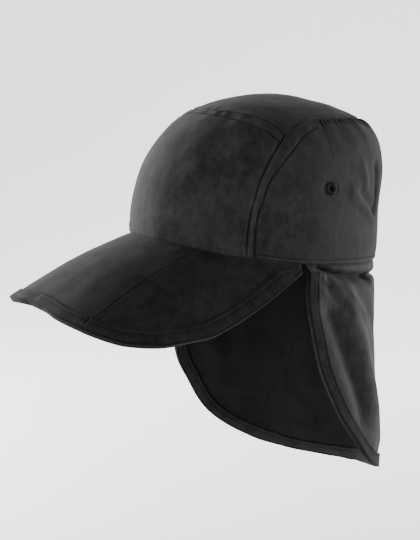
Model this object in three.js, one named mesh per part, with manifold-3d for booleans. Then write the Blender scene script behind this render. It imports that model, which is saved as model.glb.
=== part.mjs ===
// Legionnaire cap: a soft crown, a folding peak and a neck flap, in millimetres.
// The origin is the middle of the head opening. The front is -Y, the wearer's left is +X and up is +Z.
import * as THREE from "three";
import Module from "manifold-3d";

// The head opening: half sizes of its outer ellipse, and how its edge rises from back to front.
const HEAD_HALF_WIDTH = 84.5;
const HEAD_HALF_LENGTH = 103;
const RIM_TILT_HEIGHT = 11.3;
const RIM_ARCH_HEIGHT = 9.7;

// The crown over the opening. Its arc runs over the cloth from the edge to the top.
const CROWN_HEIGHT = 120.7;
const CROWN_SET_BACK_LENGTH = 17.8;
const CROWN_ARC_LENGTH = 190;
const CROWN_WALL_THICKNESS = 1.6;
const SEAM_GAP = 0.3;

// The peak, measured from the crown's edge. Its two folds lie at a share of the way to each ear.
const PEAK_REACH_LENGTH = 92;
const PEAK_DROP_HEIGHT = 40;
const PEAK_SPREAD_WIDTH = 38;
const PEAK_THICKNESS = 2.6;
const PEAK_CAMBER_HEIGHT = 5;
const PEAK_TWIST_HEIGHT = 2.5;
const PEAK_HANG_SHARE = 0.75;
const PEAK_FOLD_SHARE = 0.2;
const PEAK_END_SHARE = 0.96;

// The neck flap, measured from the crown's edge, and its folds.
const FLAP_DROP_HEIGHT = 192;
const FLAP_HALF_WIDTH = 120;
const FLAP_HALF_LENGTH = 101;
const FLAP_WALL_THICKNESS = 1.5;
const FLAP_SET_IN_GAP = 0.4;
const FLAP_SOFTNESS = 0.15;
const FLAP_FOLD_WIDTH = 12;
const FLAP_FOLD_DEPTH = 5;

// The tapes folded round both free edges. Near the ears the peak's tape narrows to a share of the
// peak's own width.
const TAPE_WIDTH = 10;
const TAPE_WALL_THICKNESS = 1;
const TAPE_GAP = 0.5;
const TAPE_SHOULDER_LENGTH = 1.2;
const TAPE_ROOM_SHARE = 0.6;

// The sewn eyelets, above the ears.
const EYELET_ANGLE = 0.3;
const EYELET_HEIGHT_SHARE = 0.285;
const EYELET_HOLE_RADIUS = 2.2;
const EYELET_SLEEVE_THICKNESS = 1;
const EYELET_FLANGE_RADIUS = 5.2;
const EYELET_FLANGE_THICKNESS = 1;
const EYELET_GAP = 0.3;
const EYELET_INNER_GAP = 0.45;
const EYELET_DRILL_LENGTH = 10;

// Gathers in the back panel, under its top seam, and the puff of cloth below them.
const GATHER_COUNT = 16;
const GATHER_DEPTH = 1.1;
const GATHER_START_ANGLE = 4;
const GATHER_REACH_SHARE = 0.3;
const PUFF_DEPTH = 4;
const PUFF_START_SHARE = 0.45;
const PUFF_END_SHARE = 0.17;
const PUFF_LOWERING = 1.5;

// Creases in the back panel.
const CREASE_WIDTH = 6;
const CREASE_DEPTH = 3;

// How far the crown bulges past a plain ellipsoid, at even steps of elevation up to the top.
const CROWN_BULGE = [
  { elevation: 0, front: 1, side: 1, back: 1 },
  { elevation: 15, front: 1.053, side: 1.025, back: 1.016 },
  { elevation: 30, front: 1.092, side: 1.094, back: 1.12 },
  { elevation: 45, front: 1.096, side: 1.12, back: 1.15 },
  { elevation: 60, front: 1.065, side: 1.068, back: 1.066 },
  { elevation: 75, front: 1.026, side: 1.018, back: 1.007 },
  { elevation: 90, front: 1, side: 1, back: 1 },
];

// The side seam: its angle round the crown, from the edge up to where three panels meet.
const SIDE_SEAM = [
  { height: 0, angle: -35.6 },
  { height: 0.25, angle: -36.2 },
  { height: 0.5, angle: -34.8 },
  { height: 0.75, angle: -30.8 },
  { height: 1, angle: -22.8 },
];
const JUNCTION_HEIGHT = 0.489;

// The top seams: height share on the crown against the share of the way from middle to junction.
const FRONT_TOP_SEAM = [
  { across: 0, height: 0.63 },
  { across: 0.4, height: 0.625 },
  { across: 0.6, height: 0.608 },
  { across: 0.75, height: 0.587 },
  { across: 0.87, height: 0.553 },
  { across: 1, height: JUNCTION_HEIGHT },
];
const BACK_TOP_SEAM = [
  { across: 0, height: 0.53 },
  { across: 0.29, height: 0.546 },
  { across: 0.51, height: 0.579 },
  { across: 0.77, height: 0.583 },
  { across: 0.9, height: 0.56 },
  { across: 0.96, height: 0.528 },
  { across: 1, height: JUNCTION_HEIGHT },
];

// Creases in the back panel: from one place to another, each by angle and height share. Widths
// and depths are shares of the crease sizes above.
const CROWN_CREASES = [
  { fromAngle: 10, fromHeight: 0.29, toAngle: 40, toHeight: 0.16, width: 1, depth: 0.7 },
  { fromAngle: 52, fromHeight: 0.4, toAngle: 48, toHeight: 0.2, width: 1, depth: -1 },
  { fromAngle: 140, fromHeight: 0.3, toAngle: 165, toHeight: 0.14, width: 1.2, depth: -0.6 },
  { fromAngle: 24, fromHeight: 0.5, toAngle: 30, toHeight: 0.36, width: 0.8, depth: -0.5 },
];

// The peak's edge against the crown's edge, from the middle (0) round to the ear (1).
const PEAK_EDGE = [
  { along: 0, rootAngle: -90, spread: 0, reach: 1.01, drop: 1 },
  { along: 0.03, rootAngle: -85.3, spread: 0.01, reach: 1.012, drop: 1 },
  { along: 0.1, rootAngle: -74, spread: 0.04, reach: 1.06, drop: 1.01 },
  { along: 0.2, rootAngle: -57, spread: 0.13, reach: 1.125, drop: 1.04 },
  { along: 0.32, rootAngle: -53.5, spread: 0.7, reach: 0.95, drop: 1.22 },
  { along: 0.44, rootAngle: -50, spread: 0.92, reach: 0.68, drop: 1.29 },
  { along: 0.56, rootAngle: -46, spread: 0.87, reach: 0.43, drop: 1.25 },
  { along: 0.68, rootAngle: -40, spread: 0.69, reach: 0.25, drop: 1.06 },
  { along: 0.8, rootAngle: -30, spread: 0.46, reach: 0.13, drop: 0.72 },
  { along: 0.9, rootAngle: -18.5, spread: 0.22, reach: 0.04, drop: 0.32 },
  { along: 1, rootAngle: -7, spread: 0.03, reach: 0, drop: -0.06 },
];

// How the flap hangs: plan sections from the crown's edge down. A squareness over 1 flattens a
// section, and the softness above keeps it round where it faces the ears and the back.
const FLAP_SECTIONS = [
  { drop: 0, width: 0.696, length: 1.01, squareness: 1 },
  { drop: 0.1, width: 0.733, length: 1.0, squareness: 1 },
  { drop: 0.25, width: 0.788, length: 0.97, squareness: 1 },
  { drop: 0.385, width: 0.825, length: 0.96, squareness: 1.03 },
  { drop: 0.51, width: 0.867, length: 0.965, squareness: 1.08 },
  { drop: 0.64, width: 0.913, length: 0.97, squareness: 1.13 },
  { drop: 0.77, width: 0.967, length: 0.975, squareness: 1.2 },
  { drop: 0.91, width: 1, length: 0.985, squareness: 1.22 },
  { drop: 1, width: 1.008, length: 1, squareness: 1.22 },
];

// The flap's free edge against its sewn edge, from the ear (0) round to the middle of the back (1).
// The cloth hangs a little lower on the wearer's right.
const FLAP_EDGE = [
  { along: 0, rootAngle: -7.5, angle: -7.3, leftDrop: 0.03, rightDrop: 0.03 },
  { along: 0.12, rootAngle: -4, angle: -10, leftDrop: 0.18, rightDrop: 0.18 },
  { along: 0.24, rootAngle: 1, angle: -8.3, leftDrop: 0.375, rightDrop: 0.375 },
  { along: 0.36, rootAngle: 8, angle: -0.8, leftDrop: 0.567, rightDrop: 0.567 },
  { along: 0.46, rootAngle: 16, angle: 10.8, leftDrop: 0.69, rightDrop: 0.7 },
  { along: 0.57, rootAngle: 28, angle: 24, leftDrop: 0.8, rightDrop: 0.85 },
  { along: 0.65, rootAngle: 38, angle: 38, leftDrop: 0.86, rightDrop: 0.945 },
  { along: 0.73, rootAngle: 49, angle: 49.5, leftDrop: 0.9, rightDrop: 0.99 },
  { along: 0.83, rootAngle: 63, angle: 64, leftDrop: 0.945, rightDrop: 1.01 },
  { along: 0.92, rootAngle: 77, angle: 77.6, leftDrop: 0.982, rightDrop: 1.008 },
  { along: 0.98, rootAngle: 86.8, angle: 86.9, leftDrop: 0.999, rightDrop: 1.001 },
  { along: 1, rootAngle: 90, angle: 90, leftDrop: 1, rightDrop: 1 },
];

// Folds in the flap: from one place to another, each by angle and drop share. Widths and depths
// are shares of the fold sizes above. The first three run level under the crown's edge.
const FLAP_FOLDS = [
  { fromAngle: 2, fromDrop: 0.05, toAngle: 40, toDrop: 0.075, width: 0.37, depth: -0.9 },
  { fromAngle: 60, fromDrop: 0.06, toAngle: 118, toDrop: 0.06, width: 0.42, depth: -0.6 },
  { fromAngle: 142, fromDrop: 0.07, toAngle: 178, toDrop: 0.05, width: 0.37, depth: -0.9 },
  { fromAngle: -1, fromDrop: 0.16, toAngle: 22, toDrop: 0.62, width: 0.9, depth: -0.8 },
  { fromAngle: 12, fromDrop: 0.12, toAngle: 42, toDrop: 0.8, width: 1.1, depth: 0.7 },
  { fromAngle: 58, fromDrop: 0.2, toAngle: 62, toDrop: 0.9, width: 1.2, depth: -0.8 },
  { fromAngle: 84, fromDrop: 0.25, toAngle: 82, toDrop: 1, width: 1.25, depth: 0.7 },
  { fromAngle: 108, fromDrop: 0.2, toAngle: 112, toDrop: 0.95, width: 1.2, depth: -0.8 },
  { fromAngle: 136, fromDrop: 0.2, toAngle: 134, toDrop: 0.9, width: 1.1, depth: 0.6 },
  { fromAngle: 181, fromDrop: 0.16, toAngle: 158, toDrop: 0.6, width: 0.9, depth: -0.7 },
];

// A tape's section, from its upper arm round the free edge to its lower arm: how far out along the
// arm, and on which side of the cloth, 1 above it and -1 below it.
const TAPE_SECTION = [
  { arm: 1, side: 1 },
  { arm: 0.5, side: 1 },
  { arm: 0, side: 1 },
  { arm: 0, side: 0 },
  { arm: 0, side: -1 },
  { arm: 0.5, side: -1 },
  { arm: 1, side: -1 },
];

// How finely each piece is divided.
const FRONT_COLUMNS = 20;
const BACK_COLUMNS = 72;
const BACK_PLAIN_SHARE = 0.2;
const CROWN_ROWS = 9;
const TOP_RINGS = 4;
const EYELET_SEGMENTS = 18;
const PEAK_CENTRE_COLUMNS = 10;
const PEAK_SIDE_COLUMNS = 13;
const PEAK_ROWS = 6;
const FLAP_COLUMNS = 44;
const FLAP_ROWS = 16;

const CLOTH_COLOUR = 0x2b2b2d;
const TAPE_COLOUR = 0x262628;
const INNER_CLOTH_COLOUR = 0x232325;
const THREAD_COLOUR = 0x303032;
const CLOTH_ROUGHNESS = 0.92;
const THREAD_ROUGHNESS = 0.8;

// Angles run round the crown from the wearer's left, through the back at 90.
const RADIANS = Math.PI / 180;
const BACK_ANGLE = 90;
const FRONT_ANGLE = -90;
const HALF_TURN = 180;

// Steps for slopes, in degrees, shares and millimetres, and the share where the crown's top is flat.
const ANGLE_STEP = 0.1;
const HEIGHT_STEP = 0.002;
const CROWN_FLAT_SHARE = 0.98;
const FLAP_STEP = 0.05;
const PEAK_PLACE_STEP = 2e-4;
const PEAK_SHARE_STEP = 1e-3;
const EDGE_STEP = 2e-3;
const MERGE_STEP = 1e-4;

const clamp = (value, low, high) => Math.min(high, Math.max(low, value));

// A column of a table at any place, by a cubic that passes through every row and never overshoots.
function column(table, place, name, at) {
  const last = table.length - 1;
  const x = clamp(at, table[0][place], table[last][place]);
  let i = 0;
  while (i < last - 1 && x > table[i + 1][place]) i += 1;
  const rise = (k) =>
    (table[k + 1][name] - table[k][name]) / (table[k + 1][place] - table[k][place]);
  const slope = (k) => {
    if (k === 0) return rise(0);
    if (k === last) return rise(last - 1);
    const before = rise(k - 1);
    const after = rise(k);
    return before * after <= 0 ? 0 : (2 * before * after) / (before + after);
  };
  const span = table[i + 1][place] - table[i][place];
  const s = (x - table[i][place]) / span;
  const s2 = s * s;
  const s3 = s2 * s;
  return (
    table[i][name] * (2 * s3 - 3 * s2 + 1) +
    slope(i) * span * (s3 - 2 * s2 + s) +
    table[i + 1][name] * (3 * s2 - 2 * s3) +
    slope(i + 1) * span * (s3 - s2)
  );
}

// The height of the crown's edge at an angle: 0 at the wearer's left, 90 at the back.
function rimHeight(angle) {
  const forward = -Math.sin(angle * RADIANS);
  return RIM_TILT_HEIGHT * forward + RIM_ARCH_HEIGHT * Math.max(forward, 0) ** 2;
}

// How deep a place lies in the creases of one table, all measured in millimetres on the flat cloth.
// Each crease fades at its ends over twice its own width.
function creaseDepth(creases, across, down) {
  let total = 0;
  for (const { ax, ay, bx, by, width, depth } of creases) {
    const length = Math.hypot(bx - ax, by - ay);
    const along = ((across - ax) * (bx - ax) + (down - ay) * (by - ay)) / length;
    const off = ((across - ax) * (by - ay) - (down - ay) * (bx - ax)) / length;
    const ends = Math.min(along, length - along) / (width * 2);
    const fade = clamp(ends + 0.5, 0, 1);
    total += depth * Math.exp(-((off / width) ** 2)) * fade * fade * (3 - 2 * fade);
  }
  return total;
}

const CROWN_CREASE_LINES = CROWN_CREASES.map((row) => ({
  ax: row.fromAngle * RADIANS * HEAD_HALF_WIDTH,
  ay: row.fromHeight * CROWN_ARC_LENGTH,
  bx: row.toAngle * RADIANS * HEAD_HALF_WIDTH,
  by: row.toHeight * CROWN_ARC_LENGTH,
  width: row.width * CREASE_WIDTH,
  depth: row.depth * CREASE_DEPTH,
}));

const FLAP_FOLD_LINES = FLAP_FOLDS.map((row) => ({
  ax: row.fromAngle * RADIANS * FLAP_HALF_LENGTH,
  ay: row.fromDrop * FLAP_DROP_HEIGHT,
  bx: row.toAngle * RADIANS * FLAP_HALF_LENGTH,
  by: row.toDrop * FLAP_DROP_HEIGHT,
  width: row.width * FLAP_FOLD_WIDTH,
  depth: row.depth * FLAP_FOLD_DEPTH,
}));

// The crown's outer face by angle and height share, 0 at the edge and 1 at the top.
function crownPoint(angle, height) {
  const turn = angle * RADIANS;
  const elevation = height * BACK_ANGLE;
  const sine = Math.sin(turn);
  const front = Math.max(-sine, 0) ** 2;
  const back = Math.max(sine, 0) ** 2;
  const bulge =
    column(CROWN_BULGE, "elevation", "side", elevation) * (1 - front - back) +
    column(CROWN_BULGE, "elevation", "front", elevation) * front +
    column(CROWN_BULGE, "elevation", "back", elevation) * back;
  const rise = Math.sin(elevation * RADIANS);
  const reach = Math.cos(elevation * RADIANS) * bulge;
  return new THREE.Vector3(
    HEAD_HALF_WIDTH * Math.cos(turn) * reach,
    HEAD_HALF_LENGTH * sine * reach + CROWN_SET_BACK_LENGTH * rise,
    rimHeight(angle) * (1 - rise) + CROWN_HEIGHT * rise * bulge,
  );
}

// A face's outward direction, from two small steps on it.
function normalOf(face, a, b, stepA, stepB) {
  const alongA = face(a + stepA, b).sub(face(a - stepA, b));
  const alongB = face(a, b + stepB).sub(face(a, b - stepB));
  return alongA.cross(alongB).normalize();
}

// The crown's outer face with the creases of the back panel.
function creasedCrown(angle, height) {
  const depth = creaseDepth(
    CROWN_CREASE_LINES,
    angle * RADIANS * HEAD_HALF_WIDTH,
    height * CROWN_ARC_LENGTH,
  );
  return crownPoint(angle, height).addScaledVector(crownNormal(angle, height), depth);
}

function crownNormal(angle, height) {
  return normalOf(crownPoint, angle, Math.min(height, CROWN_FLAT_SHARE), ANGLE_STEP, HEIGHT_STEP);
}

// The flap's outer face by angle and drop in millimetres below the crown's edge.
function flapPoint(angle, drop) {
  const share = drop / FLAP_DROP_HEIGHT;
  const turn = angle * RADIANS;
  const squareness = column(FLAP_SECTIONS, "drop", "squareness", share);
  const bend = (value) => value * Math.hypot(value, FLAP_SOFTNESS) ** (squareness - 1);
  const fold = creaseDepth(
    FLAP_FOLD_LINES,
    angle * RADIANS * FLAP_HALF_LENGTH,
    drop,
  );
  const width =
    FLAP_HALF_WIDTH * column(FLAP_SECTIONS, "drop", "width", share) - FLAP_SET_IN_GAP;
  const length =
    FLAP_HALF_LENGTH * column(FLAP_SECTIONS, "drop", "length", share) - FLAP_SET_IN_GAP;
  return new THREE.Vector3(
    (width + fold) * bend(Math.cos(turn)),
    (length + fold) * bend(Math.sin(turn)),
    rimHeight(angle) * (1 - clamp(share, 0, 1)) - SEAM_GAP - drop,
  );
}

// The peak's middle face, by place from ear (-1) to ear (1) and share from crown to edge.
function peakPoint(place, share) {
  const along = Math.abs(place);
  const side = Math.sign(place);
  const angle = column(PEAK_EDGE, "along", "rootAngle", along);
  const turn = angle * RADIANS;
  const spread = share * PEAK_SPREAD_WIDTH * column(PEAK_EDGE, "along", "spread", along);
  const reach = share * PEAK_REACH_LENGTH * column(PEAK_EDGE, "along", "reach", along);
  const drop = share * PEAK_DROP_HEIGHT * column(PEAK_EDGE, "along", "drop", along);
  const lift = PEAK_CAMBER_HEIGHT * Math.sin(Math.PI * clamp(share, 0, 1)) * (1 - along);
  const twist = PEAK_TWIST_HEIGHT * share * Math.sin(2 * Math.PI * clamp(place, -0.5, 0.5));
  const rootIn = CROWN_WALL_THICKNESS / 2;
  return new THREE.Vector3(
    side * ((HEAD_HALF_WIDTH - rootIn) * Math.cos(turn) + spread),
    (HEAD_HALF_LENGTH - rootIn) * Math.sin(turn) - reach,
    rimHeight(angle) - SEAM_GAP - PEAK_THICKNESS * PEAK_HANG_SHARE - drop + lift - twist,
  );
}

// A closed body between two faces of a grid, with walls round its four sides.
function slab(columns, rows, outer, inner) {
  const positions = [];
  const faces = [];
  const at = (layer, i, j) => layer * (columns + 1) * (rows + 1) + i * (rows + 1) + j;
  for (const place of [outer, inner])
    for (let i = 0; i <= columns; i += 1)
      for (let j = 0; j <= rows; j += 1)
        positions.push(...place(i / columns, j / rows).toArray());
  for (let i = 0; i < columns; i += 1)
    for (let j = 0; j < rows; j += 1) {
      const quad = (layer) => [at(layer, i, j), at(layer, i + 1, j),
        at(layer, i + 1, j + 1), at(layer, i, j + 1)];
      const [a, b, c, d] = quad(0);
      faces.push(a, b, c, a, c, d);
      const [e, f, g, h] = quad(1);
      faces.push(e, g, f, e, h, g);
    }
  const wall = (a, b) => {
    const layer = (columns + 1) * (rows + 1);
    faces.push(a, a + layer, b + layer, a, b + layer, b);
  };
  for (let i = 0; i < columns; i += 1) {
    wall(at(0, i, 0), at(0, i + 1, 0));
    wall(at(0, i + 1, rows), at(0, i, rows));
  }
  for (let j = 0; j < rows; j += 1) {
    wall(at(0, columns, j), at(0, columns, j + 1));
    wall(at(0, 0, j + 1), at(0, 0, j));
  }
  return closed(positions, faces);
}

function closed(positions, faces) {
  const geometry = new THREE.BufferGeometry();
  geometry.setAttribute("position", new THREE.Float32BufferAttribute(positions, 3));
  geometry.setIndex(faces);
  return geometry;
}

// The angle of the side seam, and the heights of the seams round the top panel.
const sideSeamAngle = (share) => column(SIDE_SEAM, "height", "angle", share);
const frontTopHeight = (across) => column(FRONT_TOP_SEAM, "across", "height", Math.abs(across));
const backTopHeight = (across) => column(BACK_TOP_SEAM, "across", "height", Math.abs(across));
const HALF_GAP_ANGLE = SEAM_GAP / 2 / HEAD_HALF_WIDTH / RADIANS;
const HALF_GAP_HEIGHT = SEAM_GAP / 2 / CROWN_ARC_LENGTH;

// Where a place on the front panel lies on the crown: across -1 to 1 and up 0 to 1.
function frontPlace(across, up) {
  const half = sideSeamAngle(up) - FRONT_ANGLE - HALF_GAP_ANGLE;
  return [FRONT_ANGLE + across * half, up * (frontTopHeight(across) - HALF_GAP_HEIGHT)];
}

function backPlace(across, up) {
  const half = BACK_ANGLE - sideSeamAngle(up) - HALF_GAP_ANGLE;
  return [BACK_ANGLE - across * half, up * (backTopHeight(across) - HALF_GAP_HEIGHT)];
}

// Gathers: waves under the top seam round the back, dying out downward, on cloth that puffs out.
function gatherDepth(angle, up) {
  const span = HALF_TURN - 2 * GATHER_START_ANGLE;
  const share = (angle - GATHER_START_ANGLE) / span;
  if (share <= 0 || share >= 1) return 0;
  const fade = clamp((up - 1) / GATHER_REACH_SHARE + 1, 0, 1);
  const rise = clamp((up - PUFF_START_SHARE) / (1 - PUFF_START_SHARE), 0, 1);
  const ends = Math.min(1, share / PUFF_END_SHARE, (1 - share) / PUFF_END_SHARE);
  const puff = PUFF_DEPTH * Math.sin(Math.PI * rise ** PUFF_LOWERING) * ends;
  return GATHER_DEPTH * Math.sin(2 * Math.PI * GATHER_COUNT * share) * fade + puff;
}

function crownPanel(columns, rows, placeOf, spread, extra) {
  const face = (inset) => (a, b) => {
    const [angle, height] = placeOf(spread(a), b);
    const normal = crownNormal(angle, height);
    return creasedCrown(angle, height).addScaledVector(normal, extra(angle, b) - inset);
  };
  return slab(columns, rows, face(0), face(CROWN_WALL_THICKNESS));
}

// The top panel: rings from its seams in to the crown's middle, on the corners of its neighbours.
function topPanel(edgePlaces, rings) {
  const sectors = edgePlaces.length;
  const positions = [];
  const faces = [];
  const layerSize = sectors * rings + 1;
  const at = (layer, i, j) =>
    layer * layerSize + (j === rings ? sectors * rings : j * sectors + (i % sectors));
  for (const inset of [0, CROWN_WALL_THICKNESS]) {
    for (let j = 0; j < rings; j += 1)
      for (const [angle, seam] of edgePlaces) {
        const edge = seam + 2 * HALF_GAP_HEIGHT;
        const height = edge + (1 - edge) * (j / rings);
        const normal = crownNormal(angle, height);
        const point = creasedCrown(angle, height);
        positions.push(...point.addScaledVector(normal, -inset).toArray());
      }
    positions.push(0, CROWN_SET_BACK_LENGTH, CROWN_HEIGHT - inset);
  }
  for (let j = 0; j < rings; j += 1)
    for (let i = 0; i < sectors; i += 1) {
      const [a, b, c, d] = [at(0, i, j), at(0, i + 1, j), at(0, i + 1, j + 1), at(0, i, j + 1)];
      const [e, f, g, h] = [a, b, c, d].map((k) => k + layerSize);
      faces.push(a, b, d, e, h, f);
      if (j < rings - 1) faces.push(b, c, d, f, h, g);
      if (j === 0) faces.push(a, e, f, a, f, b);
    }
  return closed(positions, faces);
}

// The flap's free edge in its own flat coordinates: angle and drop at a place from ear to ear.
function flapEdge(place) {
  const along = 1 - Math.abs(place);
  const angle = column(FLAP_EDGE, "along", "angle", along);
  return [
    place < 0 ? HALF_TURN - angle : angle,
    FLAP_DROP_HEIGHT * column(FLAP_EDGE, "along", place < 0 ? "rightDrop" : "leftDrop", along),
  ];
}

function flapRoot(place) {
  const angle = column(FLAP_EDGE, "along", "rootAngle", 1 - Math.abs(place));
  return [place < 0 ? HALF_TURN - angle : angle, 0];
}

const peakEdge = (place) => [place, 1];

// The step in a face's own coordinates that moves one millimetre in from its free edge.
function inwardStep(face, edge, place, stepA, stepB, inside) {
  const [a, b] = edge(place);
  const after = face(...edge(place + EDGE_STEP));
  const tangent = after.sub(face(...edge(place - EDGE_STEP))).normalize();
  const alongA = face(a + stepA, b).sub(face(a - stepA, b)).divideScalar(2 * stepA);
  const alongB = face(a, b + stepB).sub(face(a, b - stepB)).divideScalar(2 * stepB);
  const normal = alongA.clone().cross(alongB).normalize();
  const inward = tangent.clone().cross(normal).normalize();
  const aa = alongA.dot(alongA);
  const ab = alongA.dot(alongB);
  const bb = alongB.dot(alongB);
  const determinant = aa * bb - ab * ab;
  const ia = inward.dot(alongA);
  const ib = inward.dot(alongB);
  const stepped = [(ia * bb - ib * ab) / determinant, (ib * aa - ia * ab) / determinant];
  const [towardA, towardB] = [inside[0] - a, inside[1] - b];
  const sign = stepped[0] * towardA * aa + stepped[1] * towardB * bb < 0 ? -1 : 1;
  return [stepped[0] * sign, stepped[1] * sign];
}

// The cloth stands back from the outside of its tape by the tape's wall and a gap.
const CLOTH_INSET = TAPE_WALL_THICKNESS + TAPE_GAP;

const FLAP_FACE = {
  face: flapPoint,
  edge: flapEdge,
  stepA: FLAP_STEP,
  stepB: FLAP_STEP,
  inside: [BACK_ANGLE, 0],
  above: 0,
  below: -FLAP_WALL_THICKNESS,
  room: () => TAPE_WIDTH,
};
const PEAK_FACE = {
  face: peakPoint,
  edge: peakEdge,
  stepA: PEAK_PLACE_STEP,
  stepB: PEAK_SHARE_STEP,
  inside: [0, 0],
  above: PEAK_THICKNESS / 2,
  below: -PEAK_THICKNESS / 2,
  room: (place) => TAPE_ROOM_SHARE * peakPoint(place, 0).distanceTo(peakPoint(place, 1)),
};

// A point on a bound face: its place along the free edge, how far in, and how far off the cloth.
function boundPoint(kind, place, inset, lift) {
  const step = inwardStep(kind.face, kind.edge, place, kind.stepA, kind.stepB, kind.inside);
  const [a, b] = kind.edge(place);
  const [pa, pb] = [a + step[0] * inset, b + step[1] * inset];
  return liftedPoint(kind, pa, pb, lift);
}

function liftedPoint(kind, a, b, lift) {
  const normal = normalOf(kind.face, a, b, kind.stepA, kind.stepB);
  if (normal.dot(outwardGuess(kind, a, b)) < 0) normal.negate();
  return kind.face(a, b).addScaledVector(normal, lift);
}

function outwardGuess(kind, a, b) {
  const point = kind.face(a, b);
  return kind === PEAK_FACE
    ? new THREE.Vector3(point.x / PEAK_REACH_LENGTH, 0, 1)
    : new THREE.Vector3(point.x, point.y, 0);
}

// A tape folded round a free edge: its section swept along the edge, an outer and an inner face.
function tape(kind, places) {
  const stations = places.length - 1;
  const middle = (kind.above + kind.below) / 2;
  const half = (kind.above - kind.below) / 2 + TAPE_GAP;
  const face = (wall) => (a, b) => {
    const place = places[Math.round(a * stations)];
    const { arm, side } = TAPE_SECTION[Math.round(b * (TAPE_SECTION.length - 1))];
    const width = Math.min(TAPE_WIDTH, kind.room(place));
    const bend = side === 0 ? 0 : TAPE_SHOULDER_LENGTH;
    const outer = bend + (width - TAPE_SHOULDER_LENGTH) * arm;
    const inset = wall || arm ? outer : TAPE_WALL_THICKNESS;
    return boundPoint(kind, place, inset, middle + side * (half + wall));
  };
  return slab(stations, TAPE_SECTION.length - 1, face(TAPE_WALL_THICKNESS), face(0));
}

// A cloth panel that ends inside its tape.
function boundPanel(kind, columns, rows, from, to, root) {
  const face = (lift) => (a, b) => {
    const place = from + (to - from) * a;
    const step = inwardStep(kind.face, kind.edge, place, kind.stepA, kind.stepB, kind.inside);
    const [ea, eb] = kind.edge(place);
    const [ra, rb] = root(place);
    const [ia, ib] = [ea + step[0] * CLOTH_INSET, eb + step[1] * CLOTH_INSET];
    return liftedPoint(kind, ra + (ia - ra) * b, rb + (ib - rb) * b, lift);
  };
  return slab(columns, rows, face(kind.above), face(kind.below));
}

const wasm = await Module();
wasm.setup();

function solidOf(geometry) {
  return new wasm.Manifold(
    new wasm.Mesh({
      numProp: 3,
      vertProperties: new Float32Array(geometry.attributes.position.array),
      triVerts: new Uint32Array(geometry.index.array),
    }),
  );
}

// The same body with its faces turned outward.
function facingOut(geometry) {
  const index = geometry.index.array;
  const at = (k) => new THREE.Vector3().fromBufferAttribute(geometry.attributes.position, k);
  let volume = 0;
  for (let i = 0; i < index.length; i += 3)
    volume += at(index[i]).dot(at(index[i + 1]).cross(at(index[i + 2])));
  if (volume < 0)
    for (let i = 0; i < index.length; i += 3)
      [index[i + 1], index[i + 2]] = [index[i + 2], index[i + 1]];
  return geometry;
}

function geometryOf(solid) {
  const mesh = solid.getMesh();
  const positions = [];
  for (let i = 0; i < mesh.numVert; i += 1)
    positions.push(...mesh.vertProperties.slice(i * mesh.numProp, i * mesh.numProp + 3));
  return closed(positions, Array.from(mesh.triVerts));
}

// An eyelet's place on the crown: its axis points straight out of the cloth.
function eyeletMatrix(side) {
  const angle = side > 0 ? EYELET_ANGLE : HALF_TURN - EYELET_ANGLE;
  const outward = crownNormal(angle, EYELET_HEIGHT_SHARE);
  const turn = new THREE.Quaternion().setFromUnitVectors(new THREE.Vector3(0, 1, 0), outward);
  return new THREE.Matrix4().compose(
    crownPoint(angle, EYELET_HEIGHT_SHARE),
    turn,
    new THREE.Vector3(1, 1, 1),
  );
}

const EYELET_SLEEVE_RADIUS = EYELET_HOLE_RADIUS + EYELET_SLEEVE_THICKNESS;

// A sewn eyelet: a sleeve through the cloth with a flange on each side.
function eyelet(side) {
  const outerFoot = EYELET_GAP;
  const innerFoot = -CROWN_WALL_THICKNESS - EYELET_INNER_GAP;
  const section = [
    [EYELET_HOLE_RADIUS, innerFoot - EYELET_FLANGE_THICKNESS],
    [EYELET_FLANGE_RADIUS, innerFoot - EYELET_FLANGE_THICKNESS / 2],
    [EYELET_FLANGE_RADIUS, innerFoot],
    [EYELET_SLEEVE_RADIUS, innerFoot],
    [EYELET_SLEEVE_RADIUS, outerFoot],
    [EYELET_FLANGE_RADIUS, outerFoot],
    [EYELET_FLANGE_RADIUS, outerFoot + EYELET_FLANGE_THICKNESS / 2],
    [EYELET_HOLE_RADIUS, outerFoot + EYELET_FLANGE_THICKNESS],
  ];
  const positions = [];
  const faces = [];
  const count = section.length;
  for (let i = 0; i < EYELET_SEGMENTS; i += 1) {
    const turn = (i / EYELET_SEGMENTS) * 2 * Math.PI;
    for (const [radius, height] of section)
      positions.push(radius * Math.cos(turn), height, radius * Math.sin(turn));
  }
  for (let i = 0; i < EYELET_SEGMENTS; i += 1)
    for (let k = 0; k < count; k += 1) {
      const [a, b] = [i * count + k, i * count + ((k + 1) % count)];
      const across = (((i + 1) % EYELET_SEGMENTS) - i) * count;
      faces.push(a, b, b + across, a, b + across, a + across);
    }
  return closed(positions, faces).applyMatrix4(eyeletMatrix(side));
}

function withEyeletHoles(geometry) {
  let solid = solidOf(facingOut(geometry));
  for (const side of [1, -1]) {
    const drill = new THREE.CylinderGeometry(
      EYELET_SLEEVE_RADIUS + EYELET_GAP,
      EYELET_SLEEVE_RADIUS + EYELET_GAP,
      EYELET_DRILL_LENGTH,
      EYELET_SEGMENTS,
    ).applyMatrix4(eyeletMatrix(side));
    drill.deleteAttribute("normal");
    drill.deleteAttribute("uv");
    solid = solid.subtract(solidOf(facingOut(mergedCopy(drill))));
  }
  return geometryOf(solid);
}

// The same shape with every shared corner stored once.
function mergedCopy(geometry) {
  const source = geometry.attributes.position;
  const corners = new Map();
  const positions = [];
  const toMerged = [];
  for (let i = 0; i < source.count; i += 1) {
    const corner = [source.getX(i), source.getY(i), source.getZ(i)];
    const key = corner.map((value) => Math.round(value / MERGE_STEP)).join();
    if (!corners.has(key)) {
      corners.set(key, corners.size);
      positions.push(...corner);
    }
    toMerged.push(corners.get(key));
  }
  return closed(positions, Array.from(geometry.index.array, (k) => toMerged[k]));
}

const group = new THREE.Group();

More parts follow.
